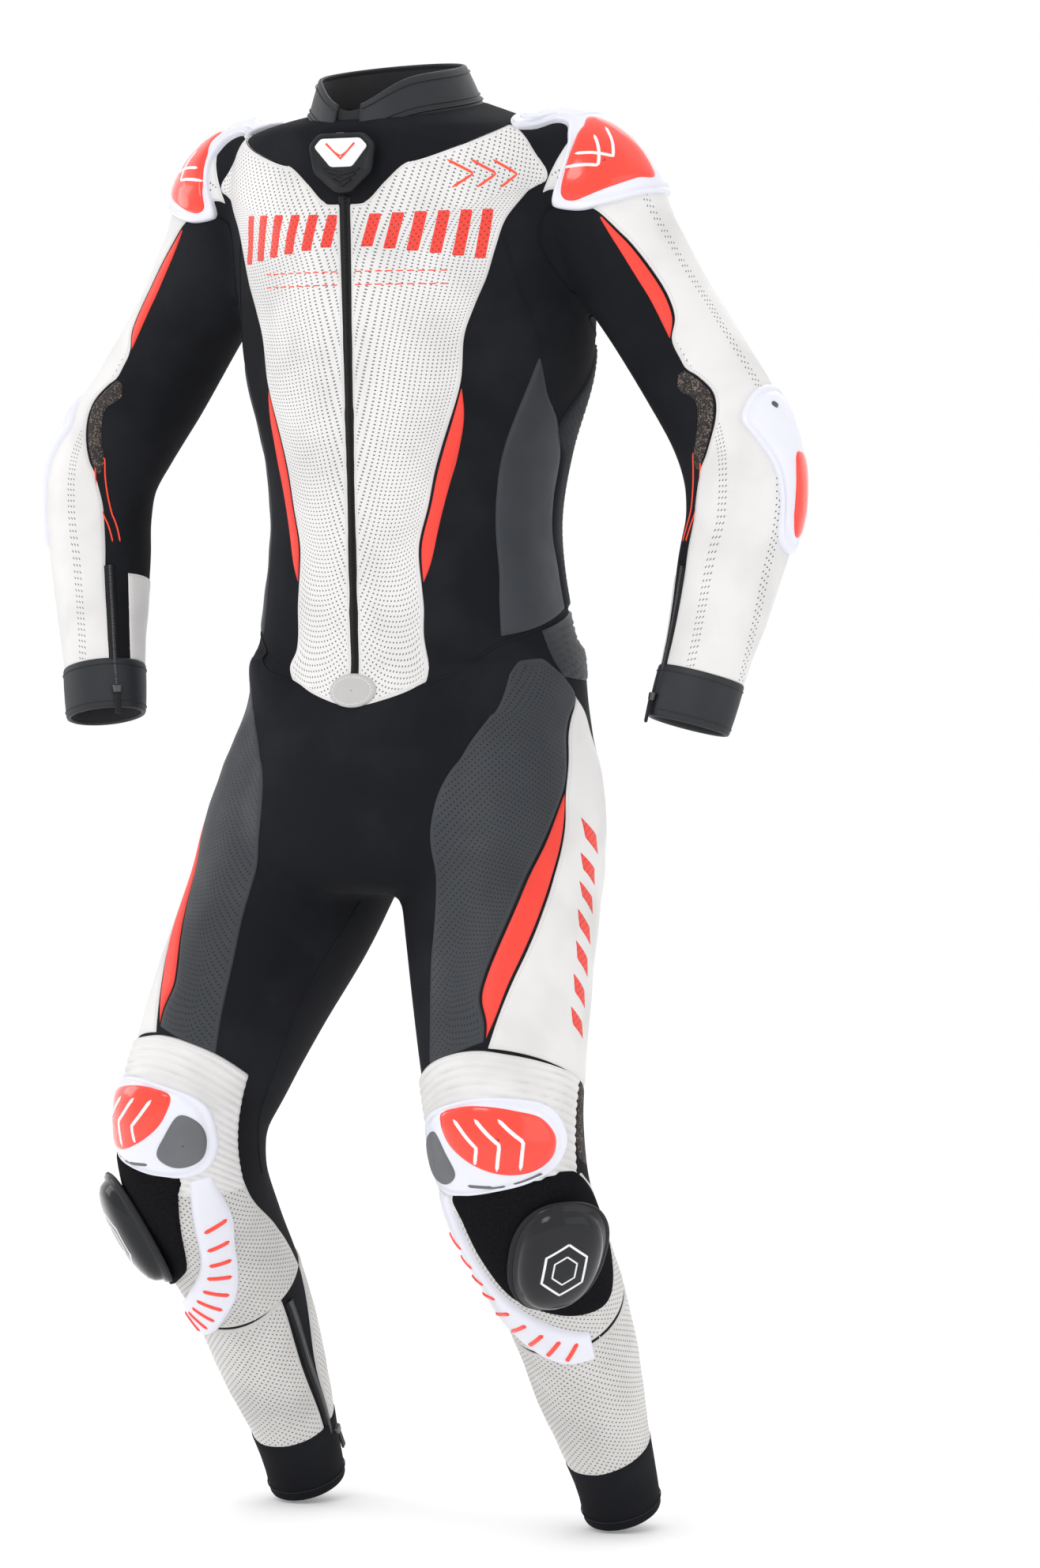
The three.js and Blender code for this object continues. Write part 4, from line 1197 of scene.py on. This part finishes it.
def rounded(corners, radius, steps=5):
    """Polygon with its corners rounded by short curves."""
    out = []
    count = len(corners)
    for i in range(count):
        before, here, after = (np.array(corners[(i + k) % count], float) for k in (-1, 0, 1))
        start = here + (before - here) / np.linalg.norm(before - here) * radius
        end = here + (after - here) / np.linalg.norm(after - here) * radius
        for t in np.linspace(0, 1, steps):
            out.append(tuple((1 - t) ** 2 * start + 2 * t * (1 - t) * here + t * t * end))
    return out


class Stand:
    """A local frame for small hard pieces: millimetres across, up and out from an origin."""

    def __init__(self, origin, up, out):
        self.origin = np.array(origin, float)
        self.up = np.array(up, float) / np.linalg.norm(up)
        out = np.array(out, float) - self.up * (np.array(out, float) @ self.up)
        self.out = out / np.linalg.norm(out)
        self.across = np.cross(self.up, self.out)

    def point(self, x, y, z):
        return self.origin + (self.across * x + self.up * y + self.out * z) * MM


def moulding(name, outline, layers, stand, material, shift=(0, 0), cap_rings=3):
    """A small moulded solid: an outline scaled and raised through layers of (scale, height)."""
    outline = np.array(outline, float)
    middle = outline.mean(0)
    count = len(outline)
    last_scale, last_height = layers[-1]
    rings = list(layers) + [(last_scale * (1 - k / (cap_rings + 1)), last_height)
                            for k in range(1, cap_rings + 1)]
    points = [stand.point(*(middle + (o - middle) * s + shift), h) for s, h in rings for o in outline]
    points += [stand.point(*(middle + shift), last_height), stand.point(*(middle + shift), layers[0][1])]
    faces = [list(f) for f in grid_faces(len(rings), count, closed=True)]
    top, foot = len(points) - 2, len(points) - 1
    end = (len(rings) - 1) * count
    faces += [[end + i, end + (i + 1) % count, top] for i in range(count)]
    faces += [[(i + 1) % count, i, foot] for i in range(count)]
    made = new_mesh(name, points, faces)
    fix_normals(made)
    made.data.materials.append(material)
    return made


def strip(name, path, width, height, stand, material, lift=0.0):
    """A raised bar along a path of (x, y) millimetres in a local frame."""
    path = np.array(path, float)
    points, faces = [], []
    ring_turns = np.linspace(0, 2 * np.pi, 9)[:-1]
    for k in range(len(path)):
        ahead = path[min(k + 1, len(path) - 1)] - path[max(k - 1, 0)]
        normal = np.array([-ahead[1], ahead[0]]) / np.linalg.norm(ahead)
        for t in ring_turns:
            x, y = path[k] + normal * math.cos(t) * width / 2
            points.append(stand.point(x, y, lift + height * max(math.sin(t), -0.4)))
    faces = [list(f) for f in grid_faces(len(path), 8, closed=True)]
    faces += [list(range(8)), list(range((len(path) - 1) * 8, len(path) * 8))[::-1]]
    made = new_mesh(name, points, faces)
    fix_normals(made)
    made.data.materials.append(material)
    return made


def middle_of(node):
    low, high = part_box(node)
    return (np.array(low) + np.array(high)) / 2


joints = {j["name"]: j for j in frame["joints"]}


def small_slider(node, joint, body, tube, side):
    """Zip slider with its bridge and a rubber pull, on the travel line of its joint."""
    up = np.array(joints[joint]["axis"], float)
    seat = middle_of(node)
    near = min(np.arange(60, 1000, 4.0), key=lambda z: np.linalg.norm(mirrored(TUBES[tube].centre(z),
        side) - seat))
    out = seat - mirrored(TUBES[tube].centre(near), side)
    stand = Stand(seat, up, out)
    base = moulding(f"{node}_body", rounded([(-4, 4), (4, 4), (5, 12), (-5, 12)], 1.2),
                    [(0.9, -2.5), (1, -2), (1, 1.6), (0.85, 2.4)], stand, METAL)
    hard(base, body, [node])
    tab = moulding(f"{node}_tab", rounded([(-3.2, -18), (3.2, -18), (2.4, 8), (-2.4, 8)], 1.4),
                   [(0.9, 0), (1, 0.4), (1, 1.6), (0.9, 2.2)], stand, RUBBER)
    hard(tab, body)


for side in SIDES:
    body = f"shin_{side}"
    turn = KNEE_TURN[side] * 0.5
    pad = plate(f"slider_pad_{side}_pile", "leg", PAD, PAD_LAYERS, PILE, side=side, turn=turn, step=2.5)
    hard(pad, body, [f"slider_pad_{side}"])
    guard = panel(f"shin_guard_{side}_shell", "leg", GUARD_OUT, GUARD_IN, CUP_WHITE, side=side, turn=turn,
                  lift=7.5 * MM, crease=0,
                  step=1.8, roll=2.6 * MM)
    hard(guard, body, [f"shin_guard_{side}"])
    on_guard = tree_of_left(guard, side)
    outer_line, inner_line = smooth_curve(GUARD_OUT, 24), smooth_curve(GUARD_IN, 24)
    for k in range(4, 21, 2):
        low = outer_line[k] * 0.8 + inner_line[k] * 0.2
        high = outer_line[k + 1] * 0.25 + inner_line[k + 1] * 0.75
        bar = ribbon(f"shin_rib_{side}_{k}", "leg", [tuple(low), tuple(high)], 5.0, 1.8, RED_GLOSS,
                     side=side, turn=turn, tree=on_guard)
        hard(bar, body)

    pull = joints[f"puck_pull_off_{side}"]
    out = np.array(pull["axis"], float)
    seat = middle_of(f"knee_puck_{side}")
    stand = Stand(seat, np.array([0, 0, 1.0]) - out * out[2], out)
    stand.origin = seat - stand.out * 10 * MM + stand.up * PUCK_UP
    puck_body = f"puck_{side}"
    shape = oval(*PUCK_HALF, sweep=PUCK_SWEEP)
    puck = moulding(f"knee_puck_{side}_dome", shape, PUCK_DOME, stand, PUCK_BLACK)
    hard(puck, puck_body, [f"knee_puck_{side}"])
    flange = moulding(f"knee_puck_{side}_flange", oval(54, 64, sweep=PUCK_SWEEP),
                      [(0.97, -1.5), (1, -0.5), (1, 2), (0.96, 3.2)], stand, RUBBER)
    hard(flange, puck_body)
    hexagon = [(24 * math.sin(t), 30 * math.cos(t)) for t in np.radians(np.arange(0, 361, 60))]
    hexagon = [tuple(np.array(a) * (1 - t) + np.array(b) * t) for a,
               b in zip(hexagon, hexagon[1:]) for t in np.linspace(0, 1, 9)[:-1]] + [hexagon[0]]
    for name, scale, width in (("outer", 1.0, 2.6), ("inner", 0.55, 1.8)):
        ring_points = np.array(hexagon) * scale
        ring = strip(f"puck_mark_{side}_{name}", ring_points, width, 0.7, stand, WHITE_FILM)
        for v in ring.data.vertices:
            local = np.array(v.co[:]) - stand.origin
            x, y = local @ stand.across / MM, local @ stand.up / MM
            reach = math.hypot(x / PUCK_HALF[0], y / PUCK_HALF[1])
            scales, tall = zip(*PUCK_DOME)
            v.co = Vector(np.array(v.co[:]) + stand.out * np.interp(reach, scales[::-1], tall[::-1]) * MM)
        hard(ring, puck_body)

# ---- Zips ----

zip_axis = np.array(joints["main_zip"]["axis"], float)
zip_up = -zip_axis
zip_out = np.cross(np.array([1.0, 0, 0]), zip_up)
MAIN_ZIP_LINE = [(1330, 0), (1200, 0), (1000, 0), (850, 0)]
tape = ribbon("zip_tape_cloth", "torso", MAIN_ZIP_LINE, 15, 1.0, ZIP_BLACK, taper=False)
soft(tape, "torso", "left", ["zip_tape"])
coil = ribbon("zip_coil", "torso", MAIN_ZIP_LINE, 4.6, 1.5, ZIP_BLACK, lift=0.8, dashes=(1.2, 1.9),
              taper=False)
soft(coil, "torso", "left")
slider_stand = Stand(middle_of("main_zip_slider"), zip_up, zip_out)
body = moulding("main_slider_body", rounded([(-6.5, -9), (6.5, -9), (5, 9), (-5, 9)], 2),
                [(0.9, -2.5), (1, -2), (1, 1.5), (0.85, 2.5)], slider_stand, METAL)
hard(body, "main_slider", ["main_zip_slider"])

pull_stand = Stand(middle_of("main_zip_pull") - zip_out * 3 * MM + np.array([5 * MM, 0, 0]), zip_up, zip_out)
HEX = [(-25, 28), (25, 28), (37, 17), (32, -10), (8, -30), (-8, -30), (-32, -10), (-37, 17)]
HEX_INLAY = [(-22, 23), (22, 23), (30, 15), (12, -5), (-12, -5), (-30, 15)]
badge = moulding("main_pull_badge", rounded(HEX, 5),
                 [(0.95, 0), (1, 1), (1, 5), (0.97, 6.4), (0.9, 6.8), (0.87, 5.6)], pull_stand, RUBBER)
hard(badge, "main_pull", ["main_zip_pull"])
inlay = moulding("main_pull_inlay", rounded(HEX_INLAY, 3), [(1, 5), (1, 6.6), (0.96, 7.2)], pull_stand,
                 WHITE_FILM)
hard(inlay, "main_pull")
for k, drop in enumerate((0, 7)):
    mark = strip(f"main_pull_mark_{k}", [(-16 + drop, 18 - drop), (0, 3 + 0.4 * drop),
                                         (16 - drop, 18 - drop)], 2.4 - k, 0.7, pull_stand, INK, lift=7.2)
    hard(mark, "main_pull")
for k in range(3):
    grip = strip(f"main_pull_grip_{k}", [(-20 + 5 * k, -7 - 5 * k), (0, -12 - 5.4 * k),
                                         (20 - 5 * k, -7 - 5 * k)], 2.6, 1.4, pull_stand, RUBBER, lift=5.6)
    hard(grip, "main_pull")

PATCH_MIDDLE, PATCH_HALF = 843, (17, 8.4)
ellipse = [(PATCH_MIDDLE + PATCH_HALF[0] * math.cos(t), PATCH_HALF[1] * math.sin(t))
           for t in np.linspace(0, 2 * np.pi, 16, endpoint=False)]
patch = plate("zip_end_oval", "torso", ellipse,
              [(0, 0.5), (0.02, 2.6), (0.06, 3.6), (0.14, 4.1), (0.3, 4.4)], PLAIN_WHITE, step=1.5)
soft(patch, "torso", "left", ["zip_end_patch"])
small = [(PATCH_MIDDLE + (z - PATCH_MIDDLE) * 0.8, a * 0.8) for z, a in ellipse]
ring = ribbon("zip_end_stitch", "torso", small + small[:1], 0.8, 0.5, WHITE_FILM, lift=4.2, dashes=(2.2, 3.2))
soft(ring, "torso", "left")

for side in SIDES:
    for name, tube, path in (("sleeve", "arm", [(955, -37), (890, -40), (826, -43)]),
                             ("calf", "leg", [(224, -76), (142, -80), (64, -91)])):
        cloth = ribbon(f"{name}_zip_cloth_{side}", tube, path, 12, 2.2, ZIP_BLACK, side=side, taper=False)
        soft(cloth, tube, side, [f"{name}_zip_tape_{side}"])
        teeth = ribbon(f"{name}_zip_coil_{side}", tube, path, 4.4, 1.4, METAL, side=side, lift=1.9,
                       dashes=(1.1, 1.9), taper=False)
        soft(teeth, tube, side)
        small_slider(f"{name}_zip_slider_{side}", f"{name}_zip_{side}", f"{name}_slider_{side}", tube, side)

# ---- Soft armour inside ----

for side in SIDES:
    for node, tube, outline, body in (
        ("shoulder_armour", "arm", [(1312, 50), (1312, 130), (1240, 130), (1240, 50)], "torso"),
        ("elbow_armour", "arm", [(1085, 52), (1085, 128), (1010, 128), (1010, 52)], f"forearm_{side}"),
        ("knee_armour", "leg", [(430, -48), (430, 48), (372, 48), (372, -48)], f"shin_{side}"),
    ):
        inner = plate(f"{node}_{side}_pad", tube, outline,
                      [(0, -18), (0.02, -14), (0.06, -10.5), (0.2, -9)], FOAM, side=side, step=4)
        hard(inner, body, [f"{node}_{side}"])

# ---- Generic marks in place of printed words ----

RED_PRINT = leather("red_print", RED, holes=True, stitched=False, margin=0.0008, roughness=0.42)
chest_trees = {side: tree_of_left(made_pieces[f"chest_leather_{side}"], side) for side in SIDES}
thigh_trees = {side: tree_of_left(made_pieces[f"thigh_white_{side}"], side) for side in SIDES}
PRINT = {"lift": 0.35 * MM, "tuck": 0.3 * MM, "crease": 0, "roll": 0.3 * MM, "step": 2.0}
for side in SIDES:
    for k in range(6):
        a, tall = 4.5 + 7.0 * k, 17 + 1.6 * k
        mid, lean = 1296 - 0.9 * k, 3.2 if side == "left" else -3.2
        mark = panel(f"chest_mark_{side}_{k}", "torso", [(mid + tall, a + lean), (mid - tall, a)],
                     [(mid + tall, a + 4.6 + lean), (mid - tall, a + 4.6)],
                     RED_PRINT, side=side, tree=chest_trees[side], **PRINT)
        soft(mark, "torso", side)
    for k, z in enumerate((1256, 1243)):
        dash = ribbon(f"chest_dash_{side}_{k}", "torso", [(z, 3), (z, 32)], 1.3, 0.3, INK, side=side,
                      tree=chest_trees[side], dashes=(7, 11), taper=False)
        soft(dash, "torso", side)
    for k in range(7):
        z = 690 - 29 * k
        mark = panel(f"thigh_mark_{side}_{k}", "leg", [(z, 76 + 0.6 * k), (z - 17, 80 + 0.6 * k)],
                     [(z - 8, 92 + 0.8 * k), (z - 25, 96 + 0.8 * k)], RED_PRINT, side=side,
                     tree=thigh_trees[side], **PRINT)
        soft(mark, "leg", side)
for k, shift in enumerate((0, 8, 16)):
    mark = ribbon(f"chest_chevron_{k}", "torso",
                  [(1364, 34 + shift), (1350, 42 + shift), (1336, 34 + shift)], 3.0, 0.4, INK,
                  tree=chest_trees["left"], smooth=False)
    soft(mark, "torso", "left")

# ---- Stitched shin pad and forearm piping ----

SHIN_PAD_LINE = [(253, 66), (211, 52), (187, 42), (178, 28), (169, 0), (178, -12), (199, -30), (244, -46)]
for side in SIDES:
    path = [tuple(p) for p in smooth_curve(SHIN_PAD_LINE, 60)]
    line = ribbon(f"shin_pad_stitch_{side}", "leg", path, 0.9, 0.5, WHITE_FILM, side=side,
                  turn=KNEE_TURN[side] * 0.5,
                  lift=1.2, dashes=(2.6, 4.0))
    soft(line, "leg", side)
    front = [(z, a) for z, a in SLEEVE_FRONT if 950 < z < 1075]
    if len(front) >= 2:
        top, foot = max(front), min(front)
        piping = [(foot[0], foot[1] - 7), (top[0], top[1] - 7), (top[0] + 4, top[1] - 12),
                  (top[0] - 2, top[1] - 18),
                  (foot[0], foot[1] - 16)]
        line = ribbon(f"forearm_piping_{side}", "arm", piping, 1.8, 1.0, INK, side=side)
        soft(line, "arm", side)

# ---- Floor, light and camera ----

VIEW_TURN, VIEW_RISE, VIEW_FAR = math.radians(28), math.radians(2.5), 5.5
FRAME_TALL = 1.588  # height of the view at the hanger's distance
FLOOR_Z = -HANGER_Z * MM - 0.012
VIEW_ACROSS, VIEW_HEIGHT = 0.1024, -0.6548


def add_camera():
    data = bpy.data.cameras.new("camera")
    data.lens = data.sensor_width / 2 / (FRAME_TALL / 2 / VIEW_FAR)
    camera = bpy.data.objects.new("camera", data)
    bpy.context.scene.collection.objects.link(camera)
    right = Vector((math.cos(VIEW_TURN), math.sin(VIEW_TURN), 0))
    ahead = Vector((-math.sin(VIEW_TURN) * math.cos(VIEW_RISE), math.cos(VIEW_TURN) * math.cos(VIEW_RISE),
                    -math.sin(VIEW_RISE)))
    camera.location = right * VIEW_ACROSS + Vector((0, 0, VIEW_HEIGHT)) - ahead * VIEW_FAR
    camera.rotation_euler = ahead.to_track_quat("-Z", "Y").to_euler()
    bpy.context.scene.camera = camera


def add_light(name, power, size, turn, rise, far=3.0):
    data = bpy.data.lights.new(name, "AREA")
    data.energy, data.size = power, size
    light = bpy.data.objects.new(name, data)
    bpy.context.scene.collection.objects.link(light)
    a, e = math.radians(turn), math.radians(rise)
    away = Vector((math.sin(a) * math.cos(e), -math.cos(a) * math.cos(e), math.sin(e)))
    light.location = Vector((0, 0, VIEW_HEIGHT)) + away * far
    light.rotation_euler = (-away).to_track_quat("-Z", "Y").to_euler()


add_camera()
add_light("key", 16, 1.2, 0, 40)
add_light("fill", 6, 2.0, 80, 10)
add_light("rim_left", 10, 1.4, -80, 15)
add_light("back", 12, 2.0, 190, 40)
world = bpy.data.worlds.new("studio")
world.use_nodes = True
world.node_tree.nodes["Background"].inputs["Color"].default_value = (1, 1, 1, 1)
world.node_tree.nodes["Background"].inputs["Strength"].default_value = 1.0
bpy.context.scene.world = world
bpy.context.scene.view_settings.view_transform = "Standard"

floor_paint = Paint("floor", (0.93, 0.93, 0.93), 0.9, Emission_Color=(1, 1, 1, 1), Emission_Strength=0.12)
floor_paint.paint(floor_paint.mix(floor_paint.ramp(floor_paint.noise(2.0), 0.3, 0.7), (0.93, 0.93, 0.93, 1),
                                  (0.9, 0.9, 0.9, 1)))
floor = new_mesh("floor", [(-9, -9, FLOOR_Z), (9, -9, FLOOR_Z), (9, 9, FLOOR_Z), (-9, 9, FLOOR_Z)],
                 [(0, 1, 2, 3)], smooth=False)
floor.data.materials.append(floor_paint.material)
